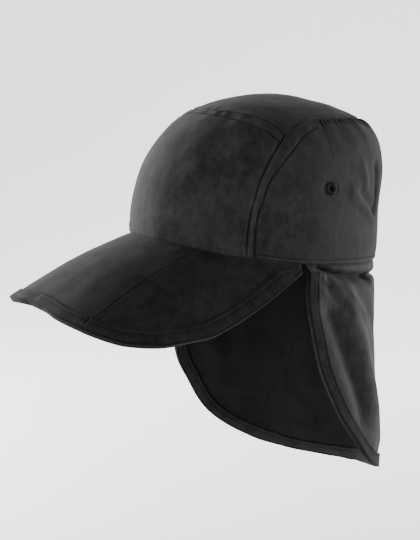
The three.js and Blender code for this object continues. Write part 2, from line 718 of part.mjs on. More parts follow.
function add(name, geometry, colour, roughness) {
  const mesh = new THREE.Mesh(
    facingOut(geometry),
    new THREE.MeshStandardMaterial({ color: colour, roughness, metalness: 0 }),
  );
  mesh.name = name;
  group.add(mesh);
}

// Columns of the back panel stand close together where it is gathered.
function gatheredSpread(a) {
  const gatheredHalf = BACK_ANGLE - GATHER_START_ANGLE;
  const edge = gatheredHalf / (BACK_ANGLE - sideSeamAngle(1));
  const across = even(a);
  const bend = 1 - BACK_PLAIN_SHARE;
  const past = (Math.abs(across) - bend) / BACK_PLAIN_SHARE;
  return past < 0 ? (across / bend) * edge : Math.sign(across) * (edge + past * (1 - edge));
}

const even = (a) => 2 * a - 1;
const plainCloth = () => 0;

// The corners of the top panel's edge: those of the front panel, then those of the back panel,
// where the gathered columns stand so close that every second one is enough.
const TOP_EDGE = [
  ...Array.from({ length: FRONT_COLUMNS + 1 }, (_, i) => frontPlace(even(i / FRONT_COLUMNS), 1)),
  ...Array.from({ length: BACK_COLUMNS - 1 }, (_, i) => 1 - (i + 1) / BACK_COLUMNS)
    .filter((a, i) => i % 2 === 1 || Math.abs(even(a)) > 1 - BACK_PLAIN_SHARE)
    .map((a) => backPlace(gatheredSpread(a), 1)),
];
const FRONT_CLOTH = crownPanel(FRONT_COLUMNS, CROWN_ROWS, frontPlace, even, plainCloth);
const BACK_CLOTH = crownPanel(BACK_COLUMNS, CROWN_ROWS, backPlace, gatheredSpread, gatherDepth);

add("front_panel", FRONT_CLOTH, CLOTH_COLOUR, CLOTH_ROUGHNESS);
add("top_panel", topPanel(TOP_EDGE, TOP_RINGS), CLOTH_COLOUR, CLOTH_ROUGHNESS);
add("back_panel", withEyeletHoles(BACK_CLOTH), CLOTH_COLOUR, CLOTH_ROUGHNESS);
add("eyelet_left", eyelet(1), THREAD_COLOUR, THREAD_ROUGHNESS);
add("eyelet_right", eyelet(-1), THREAD_COLOUR, THREAD_ROUGHNESS);

// The peak's three sections meet at its folds, and its tape has their stations.
const FOLD_GAP = SEAM_GAP / 2 / PEAK_REACH_LENGTH;
const LEFT_FOLD = PEAK_FOLD_SHARE + FOLD_GAP;
const evenPlaces = (from, to, count) =>
  Array.from({ length: count + 1 }, (_, i) => from + ((to - from) * i) / count);
const peakRoot = (place) => [place, 0];
const peakSection = (columns, from, to) =>
  boundPanel(PEAK_FACE, columns, PEAK_ROWS, from, to, peakRoot);
const PEAK_CENTRE = peakSection(PEAK_CENTRE_COLUMNS, FOLD_GAP - PEAK_FOLD_SHARE, PEAK_FOLD_SHARE - FOLD_GAP);
const PEAK_LEFT = peakSection(PEAK_SIDE_COLUMNS, LEFT_FOLD, PEAK_END_SHARE);
const PEAK_RIGHT = peakSection(PEAK_SIDE_COLUMNS, -PEAK_END_SHARE, -LEFT_FOLD);
const PEAK_PLACES = [
  ...evenPlaces(-PEAK_END_SHARE, -PEAK_FOLD_SHARE, PEAK_SIDE_COLUMNS).slice(0, -1),
  ...evenPlaces(-PEAK_FOLD_SHARE, PEAK_FOLD_SHARE, PEAK_CENTRE_COLUMNS).slice(0, -1),
  ...evenPlaces(PEAK_FOLD_SHARE, PEAK_END_SHARE, PEAK_SIDE_COLUMNS),
];

add("peak_centre", PEAK_CENTRE, CLOTH_COLOUR, CLOTH_ROUGHNESS);
add("peak_side_left", PEAK_LEFT, CLOTH_COLOUR, CLOTH_ROUGHNESS);
add("peak_side_right", PEAK_RIGHT, CLOTH_COLOUR, CLOTH_ROUGHNESS);
add("peak_binding", tape(PEAK_FACE, PEAK_PLACES), TAPE_COLOUR, CLOTH_ROUGHNESS);

const FLAP_CLOTH = boundPanel(FLAP_FACE, FLAP_COLUMNS, FLAP_ROWS, -1, 1, flapRoot);

add("neck_flap", FLAP_CLOTH, INNER_CLOTH_COLOUR, CLOTH_ROUGHNESS);
add("flap_binding", tape(FLAP_FACE, evenPlaces(-1, 1, FLAP_COLUMNS)), TAPE_COLOUR, CLOTH_ROUGHNESS);

export default group;
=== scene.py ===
# %% [markdown]
# This file dresses the plain CAD solids of a soft peaked cap with a neck flap. The cap is black
# brushed microfibre: a front panel, a top panel, one panel that wraps round the sides and the back,
# a peak that folds on two seams, and a cloth that hangs over the neck.
# Every soft piece is rebuilt finely, on the same shape as its solid, because cloth shows its making
# in small things: puckers, gathers, creases, stitches and nap.
# The first cell loads the solids and bakes their placing into their meshes.

import math

import bmesh
import bpy
import numpy as np
from mathutils import Matrix, Vector
from mathutils.kdtree import KDTree


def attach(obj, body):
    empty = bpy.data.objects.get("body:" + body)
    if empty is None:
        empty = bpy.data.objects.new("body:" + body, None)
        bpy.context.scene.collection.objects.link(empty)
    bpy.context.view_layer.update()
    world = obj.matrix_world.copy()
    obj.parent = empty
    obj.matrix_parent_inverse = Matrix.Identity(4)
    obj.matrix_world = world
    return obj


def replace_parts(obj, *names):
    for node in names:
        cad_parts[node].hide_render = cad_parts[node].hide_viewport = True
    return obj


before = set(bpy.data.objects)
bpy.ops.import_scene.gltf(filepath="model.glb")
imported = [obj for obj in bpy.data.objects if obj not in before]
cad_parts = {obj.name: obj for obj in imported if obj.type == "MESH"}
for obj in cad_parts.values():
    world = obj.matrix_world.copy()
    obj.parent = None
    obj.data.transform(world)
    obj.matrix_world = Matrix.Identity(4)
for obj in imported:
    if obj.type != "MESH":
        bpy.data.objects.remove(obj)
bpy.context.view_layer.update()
MM = 0.001

# %% [markdown]
# The camera stands where the photo was taken from: in front of the cap on the wearer's left, a
# little above it. A long lens from about a metre keeps the cap's proportions calm.

# %% Camera
CAMERA_AZIMUTH = math.radians(54)
CAMERA_ELEVATION = math.radians(11)
CAMERA_DISTANCE, CAMERA_LENS = 1.1, 94.65
CAMERA_TARGET = Vector((0, -0.043, -0.0123))
toward_camera = Vector(
    (
        math.sin(CAMERA_AZIMUTH) * math.cos(CAMERA_ELEVATION),
        -math.cos(CAMERA_AZIMUTH) * math.cos(CAMERA_ELEVATION),
        math.sin(CAMERA_ELEVATION),
    )
)
camera = bpy.data.objects.new("camera", bpy.data.cameras.new("camera"))
camera.data.lens = CAMERA_LENS
camera.location = CAMERA_TARGET + toward_camera * CAMERA_DISTANCE
camera.rotation_euler = (-toward_camera).to_track_quat("-Z", "Y").to_euler()
bpy.context.collection.objects.link(camera)
bpy.context.scene.camera = camera
print("camera at", [round(x, 3) for x in camera.location])

# %% [markdown]
# The light is a plain studio: a pale sweep that curves up behind the cap, an even surround, and
# large soft lamps. Black cloth shows its shape by its sheen, so the main lamp stands far round to
# the left and rakes along the front, a second one rakes the back from the other side, and a
# weaker one fills the front from low down, where it doesn't reach the flap's inside. The
# sweep glows behind the cap only, which keeps the background pale and the cap's underside dark.

# %% Studio
SWEEP_LEVEL, SWEEP_RADIUS, SWEEP_START = -0.55, 2.5, 2.0
SWEEP_HALF, SWEEP_WALL = 8, 6
SURROUND = 0.5


def softbox(name, place, size, power):
    lamp = bpy.data.lights.new(name, "AREA")
    lamp.shape = "DISK"
    lamp.size = size
    lamp.energy = power
    holder = bpy.data.objects.new(name, lamp)
    holder.location = place
    holder.rotation_euler = (CAMERA_TARGET - Vector(place)).to_track_quat("-Z", "Y").to_euler()
    bpy.context.collection.objects.link(holder)


softbox("lamp_left", (-1.75, -0.75, 0.45), 1.0, 135)
softbox("lamp_front", (0.4, -2.0, 0.15), 1.1, 60)
softbox("lamp_right", (0.9, 2.0, 0.15), 0.9, 98)

surround = bpy.data.worlds.new("surround")
surround.use_nodes = True
surround.node_tree.nodes["Background"].inputs["Color"].default_value = (1, 1, 1, 1)
surround.node_tree.nodes["Background"].inputs["Strength"].default_value = SURROUND
bpy.context.scene.world = surround

sweep_mesh = bpy.data.meshes.new("sweep")
bm = bmesh.new()
line = [bm.verts.new((0, y, 0)) for y in (-SWEEP_HALF, SWEEP_START)]
bm.edges.new(line)
curve = bmesh.ops.spin(
    bm,
    geom=[line[1]],
    cent=(0, SWEEP_START, SWEEP_RADIUS),
    axis=(1, 0, 0),
    angle=math.radians(90),
    steps=24,
)
top_corner = [v for v in curve["geom_last"] if isinstance(v, bmesh.types.BMVert)][0]
wall = bmesh.ops.extrude_vert_indiv(bm, verts=[top_corner])
bmesh.ops.translate(bm, verts=wall["verts"], vec=(0, 0, SWEEP_WALL))
bmesh.ops.translate(bm, verts=bm.verts, vec=(-SWEEP_HALF, 0, SWEEP_LEVEL))
sheet = bmesh.ops.extrude_edge_only(bm, edges=bm.edges)
across = [v for v in sheet["geom"] if isinstance(v, bmesh.types.BMVert)]
bmesh.ops.translate(bm, verts=across, vec=(2 * SWEEP_HALF, 0, 0))
bmesh.ops.rotate(bm, verts=bm.verts, matrix=Matrix.Rotation(CAMERA_AZIMUTH, 3, "Z"))
bmesh.ops.recalc_face_normals(bm, faces=bm.faces)
bm.to_mesh(sweep_mesh)
bm.free()
sweep_mesh.polygons.foreach_set("use_smooth", np.ones(len(sweep_mesh.polygons), bool))
sweep = bpy.data.objects.new("sweep", sweep_mesh)
bpy.context.collection.objects.link(sweep)
print("sweep faces:", len(sweep_mesh.polygons), "lamps:", len(bpy.data.lights))

# %% [markdown]
# The cap's cloth is a brushed microfibre: very dark, matt when seen square on, with a pale bloom
# where the eye skims the nap. A Principled shader gives that bloom with its sheen. The colour and
# roughness drift over the cloth in soft clouds, as brushed nap does, and a fine weave and a
# scatter of fibres stand up as bump.
# Shader arithmetic is easier to read as sums, so one small class wraps a socket and turns each
# operator into a Math node.

# %% A socket that can be added and multiplied
class Field:
    def __init__(self, finish, socket):
        self.finish = finish
        self.socket = socket

    def math(self, operation, other):
        return self.finish.add("Math", {"operation": operation}, {0: self, 1: other})

    def __add__(self, other):
        return self.math("ADD", other)

    def __sub__(self, other):
        return self.math("SUBTRACT", other)

    def __mul__(self, other):
        return self.math("MULTIPLY", other)


class Finish:
    """One material: its shader, and the patterns that feed it."""

    def __init__(self, name):
        self.material = bpy.data.materials.new(name)
        self.material.use_nodes = True
        self.tree = self.material.node_tree
        self.shader = self.tree.nodes["Principled BSDF"]

    def add(self, kind, settings=None, values=None, out=0):
        node = self.tree.nodes.new("ShaderNode" + kind)
        for key, value in (settings or {}).items():
            setattr(node, key, value)
        for key, value in (values or {}).items():
            self.put(node.inputs[key], value)
        return Field(self, node.outputs[out])

    def put(self, socket, value):
        if isinstance(value, Field):
            self.tree.links.new(value.socket, socket)
        else:
            socket.default_value = value

    def dress(self, values):
        """Feed the shader's own sockets, with fields or with constants."""
        for key, value in values.items():
            self.put(self.shader.inputs[key], value)
        return self.material

    def noise(self, coordinates, scale, detail, roughness):
        return self.add(
            "TexNoise",
            {"normalize": True},
            {"Vector": coordinates, "Scale": scale, "Detail": detail, "Roughness": roughness},
        )

    def wave(self, coordinates, direction, scale, distortion):
        return self.add(
            "TexWave",
            {"wave_type": "BANDS", "bands_direction": direction},
            {"Vector": coordinates, "Scale": scale, "Distortion": distortion},
            out=1,
        )

    def bump(self, height, distance, strength):
        return self.add("Bump", values={"Height": height, "Distance": distance, "Strength": strength})

    def shade(self, dark, light, share):
        return self.add(
            "Mix",
            {"data_type": "RGBA", "clamp_factor": True},
            {"Factor": share, 6: (*dark, 1), 7: (*light, 1)},
            out=2,
        )


print("helper classes:", Field.__name__, Finish.__name__)

# %% [markdown]
# The sweep's paper is the first finish. Its glow grows with the distance behind the cap, which is
# the dot product of a place on the paper and the direction that the camera looks in.

# %% Paper of the sweep
GLOW_START, GLOW_FULL, GLOW = 0.7, 1.6, 1.35
paper = Finish("paper")
behind = paper.add(
    "VectorMath",
    {"operation": "DOT_PRODUCT"},
    {0: paper.add("TexCoord", out=3), 1: (-toward_camera.x, -toward_camera.y, 0)},
    out=1,
)
glow = paper.add("MapRange", values={"Value": behind, "From Min": GLOW_START, "From Max": GLOW_FULL})
paper.dress(
    {
        "Emission Color": paper.shade((0, 0, 0), (1, 1, 1), glow),
        "Emission Strength": GLOW,
        "Base Color": (0.8, 0.8, 0.8, 1),
        "Roughness": 1,
    }
)
sweep_mesh.materials.append(paper.material)
print("glow behind the cap:", GLOW)

# %% [markdown]
# One function makes every cloth finish, so that they stay related. Brushed cloth is mottled: soft
# blotches about a centimetre across, streaks that run with the nap, low crinkles that catch the
# light, and a fine scatter of fibres. The weave is two crossed waves on the cloth's own flat
# coordinates. A per-point attribute, set on each piece when it is made, rubs the cloth a little
# paler on its ridges, as wear, and darkens it with painted shade in its seams, folds and edges.
# The finishes are copies of one cloth in different tones: the peak and the tape take a darker
# copy, as painted shade, and the flap's outer face a lighter one with more bloom, as painted
# light. The flap's inner face takes a much darker copy with hardly any bloom, as painted shade
# inside the flap.

# %% Cloth finishes
# A wave texture turns by 20 radians over a unit of length, for each unit of its scale. Half a
# wave is one thread.
WEAVE_PITCH = 0.0005
WEAVE_SCALE = math.pi / WEAVE_PITCH / 20


def microfibre(name, dark, light, roughness, sheen, weave=0.03):
    cloth = Finish(name)
    place = cloth.add("TexCoord", out=3)
    flat = cloth.add("UVMap", {"uv_map": "flat"})
    wear_and_shade = cloth.add("Attribute", {"attribute_name": "wear_and_shade"}, out=2)
    lain = cloth.add("Mapping", values={"Vector": flat, "Scale": (1, 0.3, 1), "Rotation": (0, 0, 0.35)})
    clouds = cloth.noise(place, 45, 5, 0.66)
    blotches = cloth.noise(place, 135, 4, 0.64)
    streaks = cloth.noise(lain, 260, 4, 0.62)
    nap = cloth.noise(place, 1500, 2, 0.6)
    share = (clouds - 0.5) * 1.5 + (blotches - 0.5) * 1.2 + (streaks - 0.5) * 0.9
    # The attribute read above lightens the colour with wear and darkens it with painted shade in seams,
    # folds and edges.
    share = share + 0.4 + wear_and_shade * 0.4 + (nap - 0.5) * 0.6
    threads = cloth.wave(flat, "X", WEAVE_SCALE, 1.2) + cloth.wave(flat, "Y", WEAVE_SCALE, 1.2)
    relief = threads * weave + nap * 0.12 + blotches * 0.3 + clouds * 0.45
    relief = relief + streaks * 0.2
    return cloth.dress(
        {
            "Base Color": cloth.shade(dark, light, share),
            "Roughness": (blotches - 0.5) * 0.3 + roughness,
            "Normal": cloth.bump(relief, 0.0017, 0.6),
            "Sheen Weight": sheen,
            "Sheen Roughness": 0.42,
            "Sheen Tint": (0.9, 0.92, 1, 1),
            "Specular IOR Level": 0.08,
        }
    )


# The peak's and the tape's darker tones and the flap inner face's much darker one are painted shade; the
# flap's lighter outer tone is painted light.
CLOTH = microfibre("cloth", (0.0055, 0.0055, 0.006), (0.021, 0.021, 0.0218), 0.84, 0.026)
PEAK_CLOTH_SHADED = microfibre("peak_cloth_shaded", (0.0032, 0.0032, 0.0036), (0.0135, 0.0135, 0.014), 0.86, 0.021)
FLAP_CLOTH_LIT = microfibre("flap_cloth", (0.006, 0.006, 0.0066), (0.029, 0.029, 0.03), 0.82, 0.035)
FLAP_INSIDE_SHADED = microfibre("flap_inside_shaded", (0.0024, 0.0024, 0.0027), (0.0062, 0.0062, 0.0066), 0.92, 0.006)
TAPE = microfibre("tape", (0.003, 0.003, 0.0034), (0.0145, 0.0145, 0.015), 0.88, 0.009, weave=0.045)
print("finishes:", CLOTH.name, PEAK_CLOTH_SHADED.name, FLAP_CLOTH_LIT.name, FLAP_INSIDE_SHADED.name, TAPE.name)

# %% [markdown]
# Thread is a tight shiny twist, so it gets a lower roughness than the cloth, and slanting bands
# for its plies.

# %% Thread finish
def thread_finish():
    thread = Finish("thread")
    plies = thread.wave(thread.add("TexCoord", out=3), "DIAGONAL", 900.0, 0.5)
    return thread.dress(
        {
            "Base Color": thread.shade((0.0006, 0.0006, 0.0007), (0.003, 0.003, 0.0033), plies),
            "Normal": thread.bump(plies, 0.0001, 0.4),
            "Roughness": 0.7,
            "Specular IOR Level": 0.1,
        }
    )


THREAD = thread_finish()
print("finish:", THREAD.name)

# %% [markdown]
# The shapes come from a few tables: plan sections, seams and folds, as a pattern cutter would
# note them. One helper reads any column at any place along a smooth curve through the rows, others
# make soft seeded lumps and bells, and the last adds up creases that run from place to place.

# %% Reading tables, lumps and creases
def column(table, place, name, at):
    """A column of a table at any place: a curve through every row that never overshoots."""
    x = np.array(table[place], float)
    y = np.array(table[name], float)
    rise = np.diff(y) / np.diff(x)
    product = rise[:-1] * rise[1:]
    both = np.where(product > 0, rise[:-1] + rise[1:], 1.0)
    inner = np.where(product > 0, 2 * product / both, 0.0)
    slope = np.concatenate([rise[:1], inner, rise[-1:]])
    at = np.clip(at, x[0], x[-1])
    i = np.clip(np.searchsorted(x, at, "right") - 1, 0, len(x) - 2)
    span = x[i + 1] - x[i]
    s = (at - x[i]) / span
    return (
        y[i] * (2 * s**3 - 3 * s**2 + 1)
        + slope[i] * span * (s**3 - 2 * s**2 + s)
        + y[i + 1] * (3 * s**2 - 2 * s**3)
        + slope[i + 1] * span * (s**3 - s**2)
    )


def lumps(x, y, size, seed):
    """Soft lumps between -1 and 1, about size apart, the same in every run."""
    u, v = x / size + seed * 17.3, y / size + seed * 5.1
    i, j = np.floor(u), np.floor(v)

    def corner(di, dj):
        h = np.sin((i + di) * 127.1 + (j + dj) * 311.7 + seed * 74.7) * 43758.5453
        return (h - np.floor(h)) * 2 - 1

    fu, fv = u - i, v - j
    fu, fv = fu * fu * (3 - 2 * fu), fv * fv * (3 - 2 * fv)
    low = corner(0, 0) * (1 - fu) + corner(1, 0) * fu
    high = corner(0, 1) * (1 - fu) + corner(1, 1) * fu
    return low * (1 - fv) + high * fv


def rumple(x, y, *waves):
    """Unevenness of laid cloth: the lumps of waves with a height, a size and a seed each."""
    return sum(height * lumps(x, y, size, seed) for height, size, seed in waves)


def bell(x, width):
    """1 where x is 0, and a soft fall on both sides."""
    return np.exp(-((x / width) ** 2))


def smooth(x, low, high):
    """0 below low, 1 above high, and a soft step between."""
    s = np.clip((x - low) / (high - low), 0, 1)
    return s * s * (3 - 2 * s)


def creases(table, across, down, scale_across, scale_down):
    """The depth of every crease of a table at each place, in millimetres of flat cloth."""
    total = np.zeros_like(across)
    for a0, d0, a1, d1, width, depth in zip(*table.values()):
        ax, ay = a0 * scale_across, d0 * scale_down
        bx, by = a1 * scale_across, d1 * scale_down
        length = math.hypot(bx - ax, by - ay)
        along = ((across - ax) * (bx - ax) + (down - ay) * (by - ay)) / length
        off = ((across - ax) * (by - ay) - (down - ay) * (bx - ax)) / length
        fade = smooth(np.minimum(along, length - along), -width, width)
        total += depth * bell(off, width) * fade
    return total


print("lumps at the origin:", round(float(lumps(np.array(0.0), np.array(0.0), 10, 1)), 3))

# %% [markdown]
# The crown is an ellipsoid over the head opening, pushed out by a table of bulges in front, at
# the side and at the back. Lengths are in millimetres, as in a sewing pattern, and are turned
# into metres when a mesh is made.

# %% The crown's shape
HALF_WIDTH, HALF_LENGTH = 84.5, 103.0
RIM_TILT, RIM_ARCH = 11.3, 9.7
CROWN_HEIGHT, SET_BACK, CROWN_ARC = 120.7, 17.8, 190.0
CROWN_WALL, RIM_GAP = 1.6, 0.3
DEGREE = math.pi / 180
BULGE = {
    "elevation": [0, 15, 30, 45, 60, 75, 90],
    "front": [1, 1.053, 1.092, 1.096, 1.065, 1.026, 1],
    "side": [1, 1.025, 1.094, 1.12, 1.068, 1.018, 1],
    "back": [1, 1.016, 1.12, 1.15, 1.066, 1.007, 1],
}


def rim_height(angle):
    forward = -np.sin(angle * DEGREE)
    return RIM_TILT * forward + RIM_ARCH * np.maximum(forward, 0) ** 2


def crown_point(angle, height):
    turn, elevation = angle * DEGREE, height * 90
    sine = np.sin(turn)
    front, back = np.maximum(-sine, 0) ** 2, np.maximum(sine, 0) ** 2
    shares = {"side": 1 - front - back, "front": front, "back": back}
    bulge = sum(column(BULGE, "elevation", name, elevation) * share for name, share in shares.items())
    rise = np.sin(elevation * DEGREE)
    reach = np.cos(elevation * DEGREE) * bulge
    x, y = HALF_WIDTH * np.cos(turn) * reach, HALF_LENGTH * sine * reach + SET_BACK * rise
    return np.stack([x, y, rim_height(angle) * (1 - rise) + CROWN_HEIGHT * rise * bulge], -1)


def normal_of(face, a, b, step_a, step_b):
    along_a = face(a + step_a, b) - face(a - step_a, b)
    along_b = face(a, b + step_b) - face(a, b - step_b)
    normal = np.cross(along_a, along_b)
    return normal / np.linalg.norm(normal, axis=-1, keepdims=True)


def crown_normal(angle, height):
    return normal_of(crown_point, angle, np.minimum(height, 0.98), 0.1, 0.002)


print("crown top:", np.round(crown_point(np.array(0.0), np.array(1.0)), 1))

# %% [markdown]
# A cloth piece starts as a bmesh grid. Its corners are moved onto the shape, and the same
# numbers give its flat coordinates for the weave and its attribute of wear and painted shade. A
# Solidify modifier gives it the cloth's thickness. The grid's lines crowd together where the
# cloth has fine detail, such as a seam or a row of stitches.

# %% Making a cloth piece
def crowded(count, marks, width, strength=7.0):
    """Places from 0 to 1 that stand closer together near each mark."""
    fine = np.linspace(0, 1, 4001)
    density = 1 + sum(strength * bell(fine - m, width) for m in marks)
    total = np.concatenate([[0], np.cumsum((density[1:] + density[:-1]) / 2)])
    return np.interp(np.linspace(0, total[-1], count + 1), total, fine)


def keep_piece(name, mesh, finish):
    """A finished mesh becomes a smooth piece, in one of the frame's slots."""
    mesh.polygons.foreach_set("use_smooth", np.ones(len(mesh.polygons), bool))
    mesh.materials.append(finish)
    piece = bpy.data.objects.new(name, mesh)
    bpy.context.collection.objects.link(piece)
    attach(piece, "root")
    return piece


def cloth_piece(name, columns, rows, place, finish, wall, outward, offset=-1.0):
    """place takes shares across and up, and gives points, flat places, and wear with painted shade."""
    mesh = bpy.data.meshes.new(name)
    bm = bmesh.new()
    count_x, count_y = len(columns) - 1, len(rows) - 1
    bmesh.ops.create_grid(bm, x_segments=count_x, y_segments=count_y, size=0.5)
    bm.to_mesh(mesh)
    bm.free()
    corners = np.empty(len(mesh.vertices) * 3)
    mesh.vertices.foreach_get("co", corners)
    corners = corners.reshape(-1, 3)
    across = columns[np.rint((corners[:, 0] + 0.5) * count_x).astype(int)]
    up = rows[np.rint((corners[:, 1] + 0.5) * count_y).astype(int)]
    points, flat, wear_and_shade = place(across, up)
    mesh.vertices.foreach_set("co", (points * MM).ravel())
    mesh.update()
    layer = mesh.uv_layers.new(name="flat")
    corner_of_loop = np.empty(len(mesh.loops), int)
    mesh.loops.foreach_get("vertex_index", corner_of_loop)
    layer.data.foreach_set("uv", (flat[corner_of_loop] * MM).ravel())
    mesh.attributes.new("wear_and_shade", "FLOAT", "POINT").data.foreach_set("value", wear_and_shade)
    bm = bmesh.new()
    bm.from_mesh(mesh)
    bmesh.ops.remove_doubles(bm, verts=bm.verts, dist=1e-6)
    bm.faces.ensure_lookup_table()
    middle = bm.faces[len(bm.faces) // 2]
    if middle.normal.dot(Vector(outward(middle.calc_center_median()))) < 0:
        bmesh.ops.reverse_faces(bm, faces=bm.faces)
    bm.to_mesh(mesh)
    bm.free()
    piece = keep_piece(name, mesh, finish)
    solidify = piece.modifiers.new("thickness", "SOLIDIFY")
    solidify.thickness = wall * MM
    solidify.offset = offset
    print(name, "faces:", len(mesh.polygons))
    return piece


# %% [markdown]
# Stitches are the smallest sewn detail that shows. Each is a short bead of thread laid along its
# row, sunk a little into the cloth. A bead is a low sphere stretched along the row, so that many
# hundreds of them stay light.

# %% Making a row of stitches
STITCH_LENGTH, STITCH_GAP, STITCH_WIDTH = 2.5, 0.7, 0.55
STITCH_LIFT, STITCH_SWELL = 0.05, 1.08


def way_along(points):
    """How far along a row each of its points is."""
    return np.concatenate([[0], np.cumsum(np.linalg.norm(np.diff(points, axis=0), axis=1))])


def read_row(values, way, at):
    return Vector([np.interp(at, way, values[:, k]) for k in range(3)])


def stitch_rows(name, rows):
    """rows holds, for each row of stitches, its points and the cloth's normals there."""
    lying = Matrix.Rotation(math.pi / 2, 4, "Y")
    half_length = STITCH_LENGTH / 2 * STITCH_SWELL
    bead = lying @ Matrix.Diagonal((STITCH_WIDTH / 2, STITCH_WIDTH / 2, half_length, 1))
    bm = bmesh.new()
    made = 0
    for points, normals in rows:
        way = way_along(points)
        for start in np.arange(STITCH_GAP, way[-1] - STITCH_LENGTH, STITCH_LENGTH + STITCH_GAP):
            first, last = (read_row(points, way, s) for s in (start, start + STITCH_LENGTH))
            along = (last - first).normalized()
            up = read_row(normals, way, start + STITCH_LENGTH / 2)
            up = (up - along * up.dot(along)).normalized()
            turn = Matrix((along, up.cross(along), up)).transposed().to_4x4()
            centre = (first + last) / 2 + up * STITCH_LIFT
            bmesh.ops.create_uvsphere(
                bm,
                u_segments=6,
                v_segments=4,
                radius=MM,
                matrix=Matrix.Translation(centre * MM) @ turn @ bead,
            )
            made += 1
    mesh = bpy.data.meshes.new(name)
    bm.to_mesh(mesh)
    bm.free()
    print(name, "stitches:", made)
    return keep_piece(name, mesh, THREAD)


# %% [markdown]
# The three crown panels meet on the side seams and round the top seam. A seam is drawn as a
# narrow valley with the cloth rolling into it on both sides. The seams lie where the CAD has
# them, given by angle round the crown and height on it.

# %% Seams of the crown
SIDE_SEAM = {"height": [0, 0.25, 0.5, 0.75, 1], "angle": [-35.6, -36.2, -34.8, -30.8, -22.8]}
FRONT_TOP_SEAM = {
    "across": [0, 0.4, 0.6, 0.75, 0.87, 1],
    "height": [0.63, 0.625, 0.608, 0.587, 0.553, 0.489],
}
BACK_TOP_SEAM = {
    "across": [0, 0.29, 0.51, 0.77, 0.9, 0.96, 1],
    "height": [0.53, 0.546, 0.579, 0.583, 0.56, 0.528, 0.489],
}
FRONT, BACK = -90.0, 90.0
JUNCTION_ANGLE = SIDE_SEAM["angle"][-1]
CROWN_RADIUS = 92.0
SEAM_ROLL, SEAM_ROLL_WIDTH = 1.0, 0.8
RIDGE_AT, RIDGE_WIDTH, GROOVE_WIDTH = 2.1, 0.9, 0.75


def front_place(across, up):
    half = column(SIDE_SEAM, "height", "angle", up) - FRONT
    return FRONT + across * half, up * column(FRONT_TOP_SEAM, "across", "height", np.abs(across))


def back_place(across, up):
    half = BACK - column(SIDE_SEAM, "height", "angle", up)
    return BACK - across * half, up * column(BACK_TOP_SEAM, "across", "height", np.abs(across))


def edge_distances(across, up, place, top_seam):
    """Millimetres to the nearer side seam, to the top seam and to the lower edge."""
    angle, height = place(across, up)
    radius = CROWN_RADIUS * np.cos(height * 90 * DEGREE) ** 0.5
    half = np.abs(place(np.ones_like(up), up)[0] - place(np.zeros_like(up), up)[0])
    side = (1 - np.abs(across)) * half * DEGREE * radius
    top = (1 - up) * column(top_seam, "across", "height", np.abs(across)) * CROWN_ARC
    return side, top, height * CROWN_ARC


def seam_roll(distance, ridge=0.12):
    """A narrow valley at the seam, and the low ridge of the turned cloth beside it."""
    valley = -SEAM_ROLL * bell(distance, SEAM_ROLL_WIDTH)
    return valley + ridge * bell(distance - RIDGE_AT, RIDGE_WIDTH)


def stitch_groove(distance, depth=0.7):
    return -depth * bell(distance, GROOVE_WIDTH)


def puckers(distance, along, reach, depth, size, seed):
    """Little waves of cloth, square to a seam or a row of stitches, that die out away from it."""
    window = smooth(distance, 0.2, 1.4) * (1 - smooth(distance, reach * 0.5, reach))
    return depth * lumps(along, distance * 0.3, size, seed) * window


def rubbed(distance, amount):
    """Pale wear on the cloth that rolls over beside a seam or an edge."""
    return amount * bell(distance - 2.0, 1.2)


def painted_shade(distance, amount):
    """Painted shade: the cloth darker in the depth of a seam, a row of stitches or at an edge."""
    return -amount * bell(distance, 0.9)


print("seam of the side starts at", SIDE_SEAM["angle"][0], "degrees")

# %% [markdown]
# Two rows of stitches are drawn freely over the panels, so they have tables of their own: one
# runs below the front's top seam, and one climbs behind each side seam and turns back under the
# top seam as far as the gathers. The cloth is pulled in along them, so each point of a panel
# is asked how far it is from the nearest stitch. Blender's KDTree answers that quickly.

# %% Lines of the topstitching
FRONT_ROW = {
    "angle": [-90, -67, -57.8, -48.2, -40, -31.5, -28.5, -25.5],
    "height": [0.6, 0.59, 0.575, 0.55, 0.527, 0.5, 0.478, 0.458],
}
SIDE_ROW = {
    "height": [0, 0.1, 0.163, 0.203, 0.288, 0.355, 0.425, 0.485, 0.512, 0.537],
    "angle": [-32.2, -33, -33, -32, -29.8, -25.5, -19.2, -12.8, -7.5, -1.2],
}
ROW_POINTS = 360


def front_row():
    half = np.linspace(FRONT, FRONT_ROW["angle"][-1], ROW_POINTS)
    height = column(FRONT_ROW, "angle", "height", half)
    mirrored = 2 * FRONT - half
    return np.concatenate([mirrored[:0:-1], half]), np.concatenate([height[:0:-1], height])


def side_row(side):
    height = np.linspace(0, SIDE_ROW["height"][-1], ROW_POINTS)
    angle = column(SIDE_ROW, "height", "angle", height)
    return (angle if side > 0 else 180 - angle), height


def nearest(points, rows):
    """The distance from each point to the nearest row of stitches, and the way along that row."""
    lines = [crown_point(*row) for row in rows]
    line, way = np.concatenate(lines), np.concatenate([way_along(p) for p in lines])
    tree = KDTree(len(line))
    for k, point in enumerate(line):
        tree.insert(point, k)
    tree.balance()
    found = np.array([tree.find(point)[1:] for point in points])
    return found[:, 1], way[found[:, 0].astype(int)]


print("points of the side rows:", len(side_row(1)[0]))

# %% [markdown]
# The front panel is smooth and full. The cloth puckers between its top seam and the row of
# stitches below, and is caught in little ticks where the peak's folds are sewn to it.

# %% Front panel
LOWER_EDGE = 0.009
FRONT_CREASES = {
    "from_angle": [-57.3, -122.7, -60, -120, -75, -48],
    "from_height": [0.002, 0.002, 0.0, 0.0, 0.3, 0.12],
    "to_angle": [-56.9, -123.1, -63, -117, -66, -40],
    "to_height": [0.045, 0.045, 0.05, 0.05, 0.42, 0.26],
    "width": [0.9, 0.9, 2.5, 2.5, 5, 5],
    "depth": [0.9, 0.9, -0.5, -0.5, -0.5, 0.5],
}


